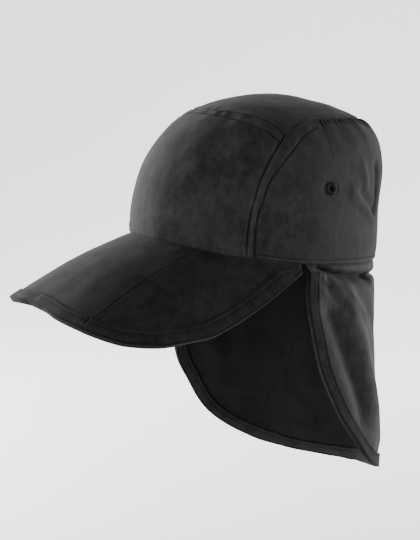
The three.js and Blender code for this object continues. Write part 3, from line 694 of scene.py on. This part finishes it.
def front_panel(a, b):
    across = a * 2 - 1
    angle, height = front_place(across, b * (1 + LOWER_EDGE) - LOWER_EDGE)
    side, top, low = edge_distances(across, b, front_place, FRONT_TOP_SEAM)
    flat_x, flat_y = angle * DEGREE * HALF_WIDTH, height * CROWN_ARC
    points = crown_point(angle, height)
    row, way = nearest(points, [front_row()])
    depth = seam_roll(side, 0) + seam_roll(top) + seam_roll(low) * 0.6
    depth += stitch_groove(row) + puckers(row, way, 9, 0.55, 6.5, 3)
    depth += puckers(top, flat_x, 9, 0.55, 6.5, 10) + puckers(side, flat_y, 6, 0.3, 7, 4)
    soft = rumple(flat_x, flat_y, (0.6, 42, 5), (0.3, 15, 6))
    depth += soft * smooth(np.minimum(side, top), 0, 9)
    depth += creases(FRONT_CREASES, flat_x, flat_y, DEGREE * HALF_WIDTH, CROWN_ARC)
    # Pale wear beside the side seam and the stitches, and painted shade in the seam and the stitch
    # groove.
    wear_and_shade = rubbed(np.minimum(side, row), 0.4) + painted_shade(np.minimum(side, row + 0.3), 0.8)
    points = points + crown_normal(angle, height) * depth[:, None]
    return points, np.stack([flat_x, flat_y], -1), wear_and_shade


front = cloth_piece(
    "front_cloth",
    crowded(180, [0, 1], 0.02),
    crowded(130, [0, 0.9, 1], 0.03, 4),
    front_panel,
    CLOTH,
    CROWN_WALL,
    outward=lambda p: (p.x, p.y, 0.03),
)
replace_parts(front, "front_panel")

# %% [markdown]
# The top panel is a leaf of cloth between the front and the back. It is a ring grid whose inner
# edge closes on the crown's middle, so the doubled corners there are merged. Its outer edge is
# tucked under its neighbours, as a seam allowance is, so that no light comes through the seam.

# %% Top panel
TUCK, TUCK_SHARE, TUCK_IN = 2.0, 0.024, 1.8
TOP_ROUND = 420


def top_seam_height(angle):
    folded = np.where(angle > BACK, 180 - angle, angle)
    from_front = (folded - FRONT) / (JUNCTION_ANGLE - FRONT)
    from_back = (BACK - folded) / (BACK - JUNCTION_ANGLE)
    return np.where(
        from_front <= 1,
        column(FRONT_TOP_SEAM, "across", "height", from_front),
        column(BACK_TOP_SEAM, "across", "height", from_back),
    )


def top_panel(a, b):
    angle = FRONT + a * 360
    seam = top_seam_height(angle)
    height = seam + (1 - seam) * (b * (1 + TUCK_SHARE) - TUCK_SHARE)
    distance = (height - seam) * CROWN_ARC
    points = crown_point(angle, np.minimum(height, 1))
    tucked = np.clip(-distance / TUCK, 0, 1)
    soft = rumple(points[:, 0], points[:, 1], (0.5, 38, 8)) * smooth(distance, 0, 9)
    depth = seam_roll(distance) + soft - TUCK_IN * tucked
    depth += puckers(distance, a * TOP_ROUND, 8, 0.4, 6, 9)
    points = points + crown_normal(angle, height) * depth[:, None]
    return points, points[:, :2], rubbed(distance, 0.2)


top = cloth_piece(
    "top_cloth",
    np.linspace(0, 1, 321),
    crowded(70, [0], 0.06),
    top_panel,
    CLOTH,
    CROWN_WALL,
    outward=lambda p: (0, 0, 1),
)
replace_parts(top, "top_panel")

# %% [markdown]
# The back panel is one strip of cloth from the left side seam round the back to the right one.
# It is longer than the top seam that it is sewn to, so it is drawn up in gathers: sharp
# little pleats at the seam that die out down the cloth, long soft ones that run on below them,
# and cloth that puffs out underneath. It also has pull creases under the eyelets and round the
# back, where the flap tugs at it.

# %% Gathers
GATHER_START, GATHER_PITCH, GATHER_DEPTH = 2.0, 3.8, 0.6
GATHER_RADIUS, GATHER_PUFF, PUFF_START = 74.0, 4.0, 0.45
CROWN_CREASES = {
    "from_angle": [20, 12, 36, 22, 52, 140, 166, 146, 158, 96, -34, 214],
    "from_height": [0.27, 0.275, 0.36, 0.38, 0.4, 0.3, 0.29, 0.35, 0.38, 0.42, 0.13, 0.13],
    "to_angle": [38, 38, 39.5, 25, 48, 165, 142, 142, 155, 92, -28.5, 208.5],
    "to_height": [0.18, 0.15, 0.18, 0.27, 0.2, 0.14, 0.16, 0.19, 0.27, 0.24, 0.125, 0.125],
    "width": [3.5, 4, 3.5, 4, 5, 5, 4.5, 3.5, 4, 5, 1.5, 1.5],
    "depth": [-2.2, 1.8, -3, 1.5, -2.2, -1.8, 1.6, -2.6, 1.3, -1.6, -1.2, -1.2],
}


def gathers(angle, up, top):
    """up is the share of the way up the panel, and top the distance below its seam."""
    span = 180 - 2 * GATHER_START
    share = (angle - GATHER_START) / span
    edge = np.minimum(share, 1 - share)
    rise = np.clip((up - PUFF_START) / (1 - PUFF_START), 0, 1)
    puff = GATHER_PUFF * np.sin(np.pi * rise**1.5) * np.clip(edge * 6, 0, 1)
    run = angle * DEGREE * GATHER_RADIUS
    bent = run + 1.3 * lumps(run, top * 0.25, 9, 21)
    pleats = np.sin(bent / GATHER_PITCH * math.tau) * (0.7 + 0.5 * lumps(run, 0 * top, 7, 24))
    reach = 11 + 4 * smooth(edge * 180, 12, 34) + 3 * lumps(run, 0 * top, 5, 22)
    fine = GATHER_DEPTH * pleats * (1 - smooth(top, reach * 0.5, reach)) * smooth(top, 0, 1.6)
    fade = np.exp(-np.maximum(top - 6, 0) / 20) * smooth(top, 0, 5)
    long = 1.3 * lumps(run, top * 0.12, 8, 23) * fade
    first_pleat = -0.9 * bell(edge * span, 0.9) * bell(top - 4, 4.0)
    return (fine + long) * smooth(edge, 0, 0.008) + first_pleat + puff


print("creases in the crown:", len(CROWN_CREASES["depth"]))

# %% Back panel
HEM_STITCH, HEM_RIDGE = 3.4, 1.9
EYELET_ANGLE, EYELET_HEIGHT = 0.3, 0.285
EYELET_HOLE, EYELET_RING = 2.2, 5.0


def back_panel(a, b):
    across = a * 2 - 1
    angle, height = back_place(across, b)
    side, top, low = edge_distances(across, b, back_place, BACK_TOP_SEAM)
    flat_x, flat_y = angle * DEGREE * HALF_WIDTH, height * CROWN_ARC
    plain = 1 - smooth(np.minimum(angle, 180 - angle), GATHER_START - 3, GATHER_START)
    points = crown_point(angle, height)
    row, way = nearest(points, [side_row(1), side_row(-1)])
    depth = seam_roll(side, 0.35) + seam_roll(top) + seam_roll(low) * 0.8
    depth += stitch_groove(row) + puckers(row, way, 8, 0.6, 5.5, 11)
    depth += stitch_groove(low - HEM_STITCH, 0.4) + 0.25 * bell(low - HEM_RIDGE, 1.0)
    depth += puckers(side, flat_y, 8, 0.45, 6.5, 16) + puckers(top, flat_x, 7, 0.5, 6, 12) * plain
    depth += puckers(low, flat_x, 6, 0.3, 9, 13)
    depth += gathers(angle, b, top)
    for middle in (EYELET_ANGLE, 180 - EYELET_ANGLE):
        away = np.hypot((angle - middle) * DEGREE * CROWN_RADIUS, (height - EYELET_HEIGHT) * CROWN_ARC)
        depth -= 0.8 * bell(away - EYELET_RING - 0.9, 1.0)
    depth += creases(CROWN_CREASES, flat_x, flat_y, DEGREE * HALF_WIDTH, CROWN_ARC)
    soft = rumple(flat_x, flat_y, (0.6, 36, 14), (0.25, 13, 15))
    depth += soft * smooth(np.minimum(side, np.minimum(top, low)), 0, 9)
    # Pale wear beside the seams, the stitches and the lower edge; painted shade along the lower edge and
    # in the seams and stitch grooves.
    wear_and_shade = rubbed(np.minimum(side, np.minimum(row, low)), 0.5)
    wear_and_shade += painted_shade(low, 2.0) + painted_shade(np.minimum(side, row + 0.3), 0.8)
    points = points + crown_normal(angle, height) * depth[:, None]
    return points, np.stack([flat_x, flat_y], -1), wear_and_shade


back = cloth_piece(
    "back_cloth",
    crowded(540, [0, 1], 0.01, 4),
    crowded(80, [0, 0.03, 1], 0.03, 4),
    back_panel,
    CLOTH,
    CROWN_WALL,
    outward=lambda p: (p.x, p.y, 0.0),
)
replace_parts(back, "back_panel")

# %% [markdown]
# Each side of the back panel has a sewn eyelet that lets air in. The cloth is cut away in a small
# round, and a ring of close satin stitches on both faces, with a tube of thread through the hole,
# binds its edge.

# %% Eyelet holes
def eyelet_frame(side):
    angle = np.array(EYELET_ANGLE if side > 0 else 180 - EYELET_ANGLE)
    height = np.array(EYELET_HEIGHT)
    out = Vector(crown_normal(angle, height))
    centre = Vector(crown_point(angle, height)) * MM
    turn = out.to_track_quat("Z", "Y").to_matrix().to_4x4()
    return Matrix.Translation(centre) @ turn


bm = bmesh.new()
bm.from_mesh(back.data)
for side in (1, -1):
    into = eyelet_frame(side).inverted()
    seen = [(f, into @ f.calc_center_median()) for f in bm.faces]
    hole = [f for f, p in seen if abs(p.z) < 0.01 and p.xy.length < (EYELET_HOLE + 1.0) * MM]
    bmesh.ops.delete(bm, geom=hole, context="FACES")
bm.to_mesh(back.data)
bm.free()
print("back panel faces with its holes:", len(back.data.polygons))

# %% Eyelet rings
RING_STITCHES = 40
RING_LIFT, RING_SWELL = 0.45, 1.12
HOLE_CORD = 0.6


def eyelet(name, side, node):
    middle = (EYELET_HOLE + EYELET_RING) / 2
    half = (EYELET_RING - EYELET_HOLE) / 2 * RING_SWELL
    bm = bmesh.new()
    for level in (RING_LIFT, -CROWN_WALL - RING_LIFT):
        for k in range(RING_STITCHES):
            turn = Matrix.Rotation(k / RING_STITCHES * math.tau, 4, "Z")
            wobble = 1 + 0.06 * math.sin(k * 2.4)
            stitch = Matrix.Diagonal((half * wobble, 0.36, 0.55, 1))
            bmesh.ops.create_uvsphere(
                bm,
                u_segments=8,
                v_segments=6,
                radius=MM,
                matrix=turn @ Matrix.Translation((middle * MM, 0, level * MM)) @ stitch,
            )
    section = bmesh.ops.create_circle(bm, segments=10, radius=HOLE_CORD * MM)["verts"]
    inside = Matrix.Translation(((EYELET_HOLE + 0.55) * MM, 0, -CROWN_WALL / 2 * MM))
    upright = Matrix.Rotation(math.pi / 2, 4, "X") @ Matrix.Diagonal((0.8, 2.6, 1, 1))
    bmesh.ops.transform(bm, verts=section, matrix=inside @ upright)
    edges = list({e for v in section for e in v.link_edges})
    bmesh.ops.spin(
        bm, geom=section + edges, cent=(0, 0, 0), axis=(0, 0, 1), angle=math.tau, steps=32, use_merge=True
    )
    bmesh.ops.remove_doubles(bm, verts=bm.verts, dist=1e-7)
    bmesh.ops.recalc_face_normals(bm, faces=bm.faces)
    bmesh.ops.transform(bm, matrix=eyelet_frame(side), verts=bm.verts)
    mesh = bpy.data.meshes.new(name)
    bm.to_mesh(mesh)
    bm.free()
    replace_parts(keep_piece(name, mesh, THREAD), node)
    print(name, "faces:", len(mesh.polygons))


eyelet("eyelet_thread_left", 1, "eyelet_left")
eyelet("eyelet_thread_right", -1, "eyelet_right")

# %% [markdown]
# The peak is a stiffened cloth in three sections that folds on the two seams between them. It is
# ruled from the crown's edge to its own free edge, whose shape is a table from the middle round to
# the ear. The cloth dips sharply into the two fold seams.

# %% The peak's shape
PEAK_REACH, PEAK_DROP, PEAK_SPREAD = 92.0, 40.0, 38.0
PEAK_THICKNESS, PEAK_CAMBER, PEAK_TWIST, PEAK_FOLD = 2.6, 5.0, 2.5, 0.2
PEAK_END, FOLD_RUN = 0.96, 50.0
PEAK_EDGE = {
    "along": [0, 0.03, 0.1, 0.2, 0.32, 0.44, 0.56, 0.68, 0.8, 0.9, 1],
    "root": [-90, -85.3, -74, -57, -53.5, -50, -46, -40, -30, -18.5, -7],
    "spread": [0, 0.01, 0.04, 0.13, 0.7, 0.92, 0.87, 0.69, 0.46, 0.22, 0.03],
    "reach": [1.01, 1.012, 1.06, 1.125, 0.95, 0.68, 0.43, 0.25, 0.13, 0.04, 0],
    "drop": [1, 1, 1.01, 1.04, 1.22, 1.29, 1.25, 1.06, 0.72, 0.32, -0.06],
}


def peak_point(place, share):
    along, side = np.abs(place), np.sign(place)
    turn = column(PEAK_EDGE, "along", "root", along) * DEGREE
    spread, reach, drop = (
        share * size * column(PEAK_EDGE, "along", name, along)
        for name, size in (("spread", PEAK_SPREAD), ("reach", PEAK_REACH), ("drop", PEAK_DROP))
    )
    lift = PEAK_CAMBER * np.sin(np.pi * np.clip(share, 0, 1)) * (1 - along)
    twist = PEAK_TWIST * share * np.sin(2 * np.pi * np.clip(place, -0.5, 0.5))
    x = side * ((HALF_WIDTH - CROWN_WALL / 2) * np.cos(turn) + spread)
    y = (HALF_LENGTH - CROWN_WALL / 2) * np.sin(turn) - reach
    root = rim_height(turn / DEGREE) - RIM_GAP - PEAK_THICKNESS * 0.75
    return np.stack([x, y, root - drop + lift - twist], -1)


def peak_normal(place, share):
    normal = normal_of(peak_point, place, np.minimum(share, 1.05), 2e-3, 1e-3)
    return normal * np.sign(normal[..., 2:3] + 0.5 * np.sign(place)[..., None] * normal[..., 0:1])


print("peak's front:", np.round(peak_point(np.array(0.0), np.array(1.0)), 1))

# %% Peak sections
TURNED_IN, TURNED_UP = 0.045, 5.0
IN_TAPE = 0.985


def peak_section(start, end, flat_width):
    """A section's root is turned up inside the crown, and its free edge ends in the tape."""

    def place_on(a, b):
        place = start + (end - start) * a
        share = b * (IN_TAPE + TURNED_IN) - TURNED_IN
        points = peak_point(place, share)
        turned = np.clip(-share / TURNED_IN, 0, 1)
        points[:, 2] += TURNED_UP * smooth(turned, 0.35, 1)
        near_fold = np.abs(np.abs(place) - PEAK_FOLD) / PEAK_FOLD * FOLD_RUN
        depth = rumple(points[:, 0], points[:, 1], (0.3, 30, 31), (0.14, 11, 32))
        depth -= 1.5 * bell(near_fold, 1.0)
        depth += 0.2 * lumps(share * 100, near_fold * 0.4, 6, 33) * bell(near_fold, 6)
        points = points + peak_normal(place, share) * depth[:, None]
        # The third value returned darkens the cloth along the fold seams: painted shade.
        return points, np.stack([a * flat_width, b * 100.0], -1), -3.0 * bell(near_fold, 1.3)

    return place_on


FOLD_GAP = 0.001
PEAK_PARTS = {
    "peak_centre": (-PEAK_FOLD + FOLD_GAP, PEAK_FOLD - FOLD_GAP, 95.0, 90, [0, 1]),
    "peak_side_left": (PEAK_FOLD + FOLD_GAP, PEAK_END, 200.0, 120, [0]),
    "peak_side_right": (-PEAK_END, -PEAK_FOLD - FOLD_GAP, 200.0, 120, [1]),
}
for node, (start, end, flat_width, count, marks) in PEAK_PARTS.items():
    section = cloth_piece(
        node + "_cloth",
        crowded(count, marks, 0.05),
        crowded(80, [0], 0.05),
        peak_section(start, end, flat_width),
        PEAK_CLOTH_SHADED,
        PEAK_THICKNESS,
        outward=lambda p: (p.x * 3, 0, 0.3),
        offset=0.0,
    )
    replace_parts(section, node)

# %% [markdown]
# The neck flap hangs from the crown's edge, from ear to ear. Its drape is a stack of plan
# sections, an ellipse at the crown's edge that grows wider and squarer towards the hem, with
# folds laid over it: soft ones that fan down from the ears, a narrow deep one that runs level just
# below the crown, where the cloth turns over its own seam, and ripples that hang from that one.
# Drops are shares of the flap's length, and the last two tables go finer than the CAD does.

# %% The flap's shape
FLAP_DROP, FLAP_HALF_WIDTH, FLAP_HALF_LENGTH = 192.0, 120.0, 101.0
FLAP_WALL, FLAP_SET_IN, FLAP_SOFTNESS = 1.5, 0.4, 0.15
FLAP_SECTIONS = {
    "drop": [0, 0.1, 0.25, 0.385, 0.51, 0.64, 0.77, 0.91, 1],
    "width": [0.696, 0.733, 0.788, 0.825, 0.867, 0.913, 0.967, 1, 1.008],
    "length": [1.01, 1.0, 0.97, 0.96, 0.965, 0.97, 0.975, 0.985, 1],
    "squareness": [1, 1, 1, 1.03, 1.08, 1.13, 1.2, 1.22, 1.22],
}
FLAP_EDGE = {
    "along": [0, 0.12, 0.24, 0.36, 0.46, 0.57, 0.65, 0.73, 0.83, 0.92, 0.98, 1],
    "root": [-7.5, -4, 1, 8, 16, 28, 38, 49, 63, 77, 86.8, 90],
    "angle": [-7.3, -10, -8.3, -0.8, 10.8, 24, 38, 49.5, 64, 77.6, 86.9, 90],
    "left": [0.03, 0.18, 0.375, 0.567, 0.69, 0.8, 0.86, 0.9, 0.945, 0.982, 0.999, 1],
    "right": [0.03, 0.18, 0.375, 0.567, 0.7, 0.85, 0.945, 0.99, 1.01, 1.008, 1.001, 1],
}
FLAP_FOLDS = {
    "from_angle": [2, 60, 142, -1, 12, 58, 84, 108, 136, 181, -2, 6, 20, 170],
    "from_drop": [0.05, 0.06, 0.07, 0.16, 0.12, 0.2, 0.25, 0.2, 0.2, 0.16, 0.05, 0.06, 0.08, 0.1],
    "to_angle": [40, 118, 178, 22, 42, 62, 82, 112, 134, 158, 12, 30, 44, 150],
    "to_drop": [0.075, 0.06, 0.05, 0.62, 0.8, 0.9, 1, 0.95, 0.9, 0.6, 0.2, 0.22, 0.3, 0.3],
    "width": [4, 5, 4.5, 9, 12, 13, 14, 13, 12, 11, 4, 4.5, 7, 8],
    "depth": [-4.6, -3, -4.5, -4.2, 3.6, -4, 3.5, -4, 3, -3.5, -1.8, 1.6, -2.2, 2],
}
FOLD_ANGLES = [0, 8, 17, 29, 41, 70, 110, 139, 151, 163, 172, 180]
FOLD_DROPS = [0.018, 0.034, 0.044, 0.052, 0.06, 0.064, 0.064, 0.06, 0.052, 0.044, 0.034, 0.018]
FLAP_CREASES = {
    "from_angle": [-3, *FOLD_ANGLES],
    "from_drop": [0.012, *FOLD_DROPS],
    "to_angle": [*FOLD_ANGLES, 183],
    "to_drop": [*FOLD_DROPS, 0.012],
    "width": [1.8, 2.1, 2.5, 2.8, 2.9, 2.6, 2.4, 2.6, 2.9, 2.8, 2.5, 2.1, 1.8],
    "depth": [-5, -7.5, -8, -8, -7, -4, -3, -4, -7, -8, -8, -7.5, -5],
}
FLAP_RIPPLES = {
    "from_angle": [4, 9, 15, 21, 27, 2, 11, 9, 177, 168, 160],
    "from_drop": [0.05, 0.125, 0.255, 0.42, 0.6, 0.12, 0.31, 0.065, 0.05, 0.12, 0.4],
    "to_angle": [9, 15, 21, 27, 28, 11, 20, 13, 168, 158, 152],
    "to_drop": [0.125, 0.255, 0.42, 0.6, 0.78, 0.31, 0.66, 0.12, 0.12, 0.4, 0.75],
    "width": [7, 9, 11, 11, 11, 9, 9, 4, 6, 9, 9],
    "depth": [0.6, 1.5, 2.6, 2.8, 2.2, -1.4, -1.8, -1.2, 1, 2.2, -1.8],
}


def dot(p, q):
    return np.sum(p * q, -1)


def flap_point(angle, drop):
    share = drop / FLAP_DROP
    turn = angle * DEGREE
    squareness = column(FLAP_SECTIONS, "drop", "squareness", share)

    def bend(value):
        return value * np.hypot(value, FLAP_SOFTNESS) ** (squareness - 1)

    fold = sum(
        creases(table, turn * FLAP_HALF_LENGTH, drop, DEGREE * FLAP_HALF_LENGTH, FLAP_DROP)
        for table in (FLAP_FOLDS, FLAP_CREASES, FLAP_RIPPLES)
    )
    width = FLAP_HALF_WIDTH * column(FLAP_SECTIONS, "drop", "width", share) - FLAP_SET_IN
    length = FLAP_HALF_LENGTH * column(FLAP_SECTIONS, "drop", "length", share) - FLAP_SET_IN
    x, y = (width + fold) * bend(np.cos(turn)), (length + fold) * bend(np.sin(turn))
    return np.stack([x, y, rim_height(angle) * (1 - np.clip(share, 0, 1)) - RIM_GAP - drop], -1)


def flap_normal(angle, drop):
    normal = normal_of(flap_point, angle, drop, 0.1, 0.1)
    facing = dot(normal[..., :2], flap_point(angle, drop)[..., :2])
    return normal * np.sign(facing)[..., None]


def flap_edge(place):
    along = 1 - np.abs(place)
    root, angle, left, right = (
        column(FLAP_EDGE, "along", name, along) for name in ("root", "angle", "left", "right")
    )
    mirrored = [np.where(place < 0, 180 - angle_on, angle_on) for angle_on in (root, angle)]
    return (*mirrored, np.where(place < 0, right, left) * FLAP_DROP)


def flap_hem(place):
    return flap_edge(place)[1:]


print("flap's hem at the back:", np.round(flap_point(np.array(90.0), np.array(192.0)), 1))

# %% Neck flap
FLAP_TUCK, FLAP_TUCK_IN, FLAP_TUCK_SHARE = 3.0, 1.7, 0.008


def neck_flap(a, b):
    place = a * 2 - 1
    root_angle, edge_angle, edge_drop = flap_edge(place)
    share = b * IN_TAPE
    tucked = np.clip(1 - b / FLAP_TUCK_SHARE, 0, 1)
    angle = root_angle + (edge_angle - root_angle) * share
    drop = edge_drop * share - FLAP_TUCK * tucked
    flat_x, flat_y = angle * DEGREE * FLAP_HALF_LENGTH, drop
    depth = rumple(flat_x, flat_y, (0.8, 40, 41), (0.35, 16, 42))
    depth += 0.35 * lumps(flat_x, flat_y * 0.3, 7, 43) * np.exp(-drop / 12)
    depth *= smooth(drop, 0, 6)
    depth -= FLAP_TUCK_IN * tucked
    points = flap_point(angle, drop) + flap_normal(angle, drop) * depth[:, None]
    # Painted shade: the colour is darkened in the deep fold under the rim and along the flap's top edge.
    fold_shade_under_rim = creases(FLAP_CREASES, flat_x, flat_y, DEGREE * FLAP_HALF_LENGTH, FLAP_DROP)
    wear_and_shade = np.clip(fold_shade_under_rim * 0.5, -2.5, 0) - 2.5 * bell(drop, 1.1)
    return points, np.stack([flat_x, flat_y], -1), wear_and_shade


flap = cloth_piece(
    "flap_cloth_sheet",
    np.linspace(0, 1, 261),
    crowded(150, [0.06], 0.045, 5),
    neck_flap,
    FLAP_CLOTH_LIT,
    FLAP_WALL,
    outward=lambda p: (p.x, p.y, 0),
)
# The flap's inner face takes the darker copy, as painted shade inside the flap.
flap.data.materials.append(FLAP_INSIDE_SHADED)
flap.modifiers["thickness"].material_offset = 1
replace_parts(flap, "neck_flap")

# %% [markdown]
# Both free edges are bound with a tape of the same cloth, folded in half over the edge and sewn
# through with a row of stitches near its inner side. It is a grid swept along the edge: across it
# runs the tape, from the outer side, round the edge, to the inner side.

# %% Bound edges
TAPE_WIDTH, TAPE_WALL, TAPE_GAP = 10.0, 1.0, 0.15
TAPE_STITCH, TAPE_RUN, EDGE_STEP = 7.2, 560.0, 2e-3


def peak_edge(place):
    return place, np.ones_like(place)


def peak_room(place):
    length = np.linalg.norm(peak_point(place, 0 * place) - peak_point(place, 1 + 0 * place), axis=-1)
    return np.minimum(1, 0.6 * length / TAPE_WIDTH)


PEAK_TAPE = {
    "face": peak_point,
    "normal": peak_normal,
    "edge": peak_edge,
    "steps": (2e-4, 1e-3),
    "inside": (0, 0),
    "wall": PEAK_THICKNESS,
    "middle": 0.0,
    "room": peak_room,
    "end": PEAK_END,
    "dips": [PEAK_FOLD],
    "seed": 51,
}
FLAP_TAPE = {
    "face": flap_point,
    "normal": flap_normal,
    "edge": flap_hem,
    "steps": (0.05, 0.05),
    "inside": (90, 0),
    "wall": FLAP_WALL,
    "middle": -FLAP_WALL / 2,
    "room": np.ones_like,
    "end": 1.0,
    "dips": [],
    "seed": 52,
}


def inward_step(tape, place):
    """The step in a face's own coordinates that goes one millimetre in from its edge."""
    face, edge, (step_a, step_b) = tape["face"], tape["edge"], tape["steps"]
    a, b = edge(place)
    tangent = face(*edge(place + EDGE_STEP)) - face(*edge(place - EDGE_STEP))
    tangent /= np.linalg.norm(tangent, axis=-1, keepdims=True)
    along_a = (face(a + step_a, b) - face(a - step_a, b)) / (2 * step_a)
    along_b = (face(a, b + step_b) - face(a, b - step_b)) / (2 * step_b)
    inward = np.cross(tangent, np.cross(along_a, along_b))
    inward /= np.linalg.norm(inward, axis=-1, keepdims=True)
    aa, ab, bb = dot(along_a, along_a), dot(along_a, along_b), dot(along_b, along_b)
    ia, ib = dot(inward, along_a), dot(inward, along_b)
    down = aa * bb - ab * ab
    step = np.stack([(ia * bb - ib * ab) / down, (ib * aa - ia * ab) / down])
    toward = step[0] * (tape["inside"][0] - a) * aa + step[1] * (tape["inside"][1] - b) * bb
    return step * np.where(toward < 0, -1, 1)


def on_tape(tape, place, inset):
    """The places that lie an inset from the edge, and the cloth's normals there."""
    a, b = tape["edge"](place)
    step = inward_step(tape, place)
    a, b = a + step[0] * inset, b + step[1] * inset
    return tape["face"](a, b), tape["normal"](a, b)


def tape_section(share):
    """How far in the tape is, and how far round: 1 is outside, 0 at the edge and -1 inside."""
    away = np.abs(share - 0.5) * 2
    inset = TAPE_WIDTH * np.maximum(away - 0.1, 0) / 0.9
    side = np.clip((0.5 - share) / 0.05, -1, 1)
    return inset, side


def tape_place(tape):
    def place_on(a, b):
        place = (a * 2 - 1) * tape["end"]
        inset, side = tape_section(b)
        reach = tape["room"](place)
        inset = inset * reach
        points, normals = on_tape(tape, place, inset)
        along = a * TAPE_RUN
        ripple = 0.28 * lumps(along, inset * 0.3, 6.5, tape["seed"])
        ripple *= smooth(inset, 0.5, 3) * (1 - smooth(inset, 8.5, 10))
        dips = sum(bell(np.abs(place) - p, 1 / 230) for p in tape["dips"])
        ripple -= 1.7 * dips * smooth(inset, 2, 8)
        groove = -0.4 * bell(inset / np.maximum(reach, 0.05) - TAPE_STITCH, 0.7)
        half = (tape["wall"] + TAPE_WALL) / 2 + TAPE_GAP + ripple + groove
        half -= 0.35 * smooth(inset, 9.0, 10.0)
        lift = tape["middle"] + half * np.sin(side * math.pi / 2)
        # Pale wear just in from the tape's edge, and painted shade on the edge itself.
        wear_and_shade = 0.4 * bell(inset - 2.4, 1.2) + painted_shade(inset, 2.0)
        return points + normals * lift[:, None], np.stack([along, inset], -1), wear_and_shade

    return place_on


peak_tape, flap_tape = (
    cloth_piece(
        name,
        np.linspace(0, 1, count),
        crowded(44, [0.14, 0.5, 0.86], 0.06, 4),
        tape_place(tape),
        TAPE,
        TAPE_WALL,
        outward,
        offset=0.0,
    )
    for name, count, tape, outward in (
        ("peak_tape", 421, PEAK_TAPE, lambda p: (p.x, -1, 0)),
        ("flap_tape", 521, FLAP_TAPE, lambda p: (0, 0, -1)),
    )
)
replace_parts(peak_tape, "peak_binding")
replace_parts(flap_tape, "flap_binding")

# %% [markdown]
# Now the rows of stitches: below the front's top seam, behind each side seam and on to the
# gathers, above the crown's lower edge, and along both tapes, on their two faces.

# %% Rows of stitches
STITCH_SINK = 0.3
ROW_END = 0.985


def crown_row(angle, height, sink):
    normals = crown_normal(angle, height)
    return crown_point(angle, height) - normals * sink, normals


def tape_rows(tape, end, count):
    place = np.linspace(-end, end, count)
    points, normals = on_tape(tape, place, TAPE_STITCH * tape["room"](place))
    half = tape["wall"] / 2 + TAPE_WALL + TAPE_GAP - STITCH_SINK
    return [(points + normals * (tape["middle"] + half * s), normals * s) for s in (1, -1)]


rows = [crown_row(*line, STITCH_SINK) for line in (front_row(), side_row(1), side_row(-1))]
across = np.linspace(-ROW_END, ROW_END, 900)
up = HEM_STITCH / (column(BACK_TOP_SEAM, "across", "height", np.abs(across)) * CROWN_ARC)
rows.append(crown_row(*back_place(across, up), 0.25))
stitch_rows("crown_stitches", rows)
stitch_rows("peak_tape_stitches", tape_rows(PEAK_TAPE, 0.93, 900))
flap_stitches = stitch_rows("flap_tape_stitches", tape_rows(FLAP_TAPE, ROW_END, 1200))

# %% [markdown]
# The flap is a sheet of cloth, so the size that it was cut to is measured: its area, on its
# shape without the small lumps.

# %% The flap as a sheet
def flap_area():
    place, share = np.meshgrid(np.linspace(-1, 1, 241), np.linspace(0, IN_TAPE, 121), indexing="ij")
    root_angle, edge_angle, edge_drop = flap_edge(place)
    points = flap_point(root_angle + (edge_angle - root_angle) * share, edge_drop * share)
    across = points[1:, :-1] - points[:-1, :-1]
    down = points[:-1, 1:] - points[:-1, :-1]
    return float(np.linalg.norm(np.cross(across, down), axis=-1).sum()) * MM * MM


area = flap_area()
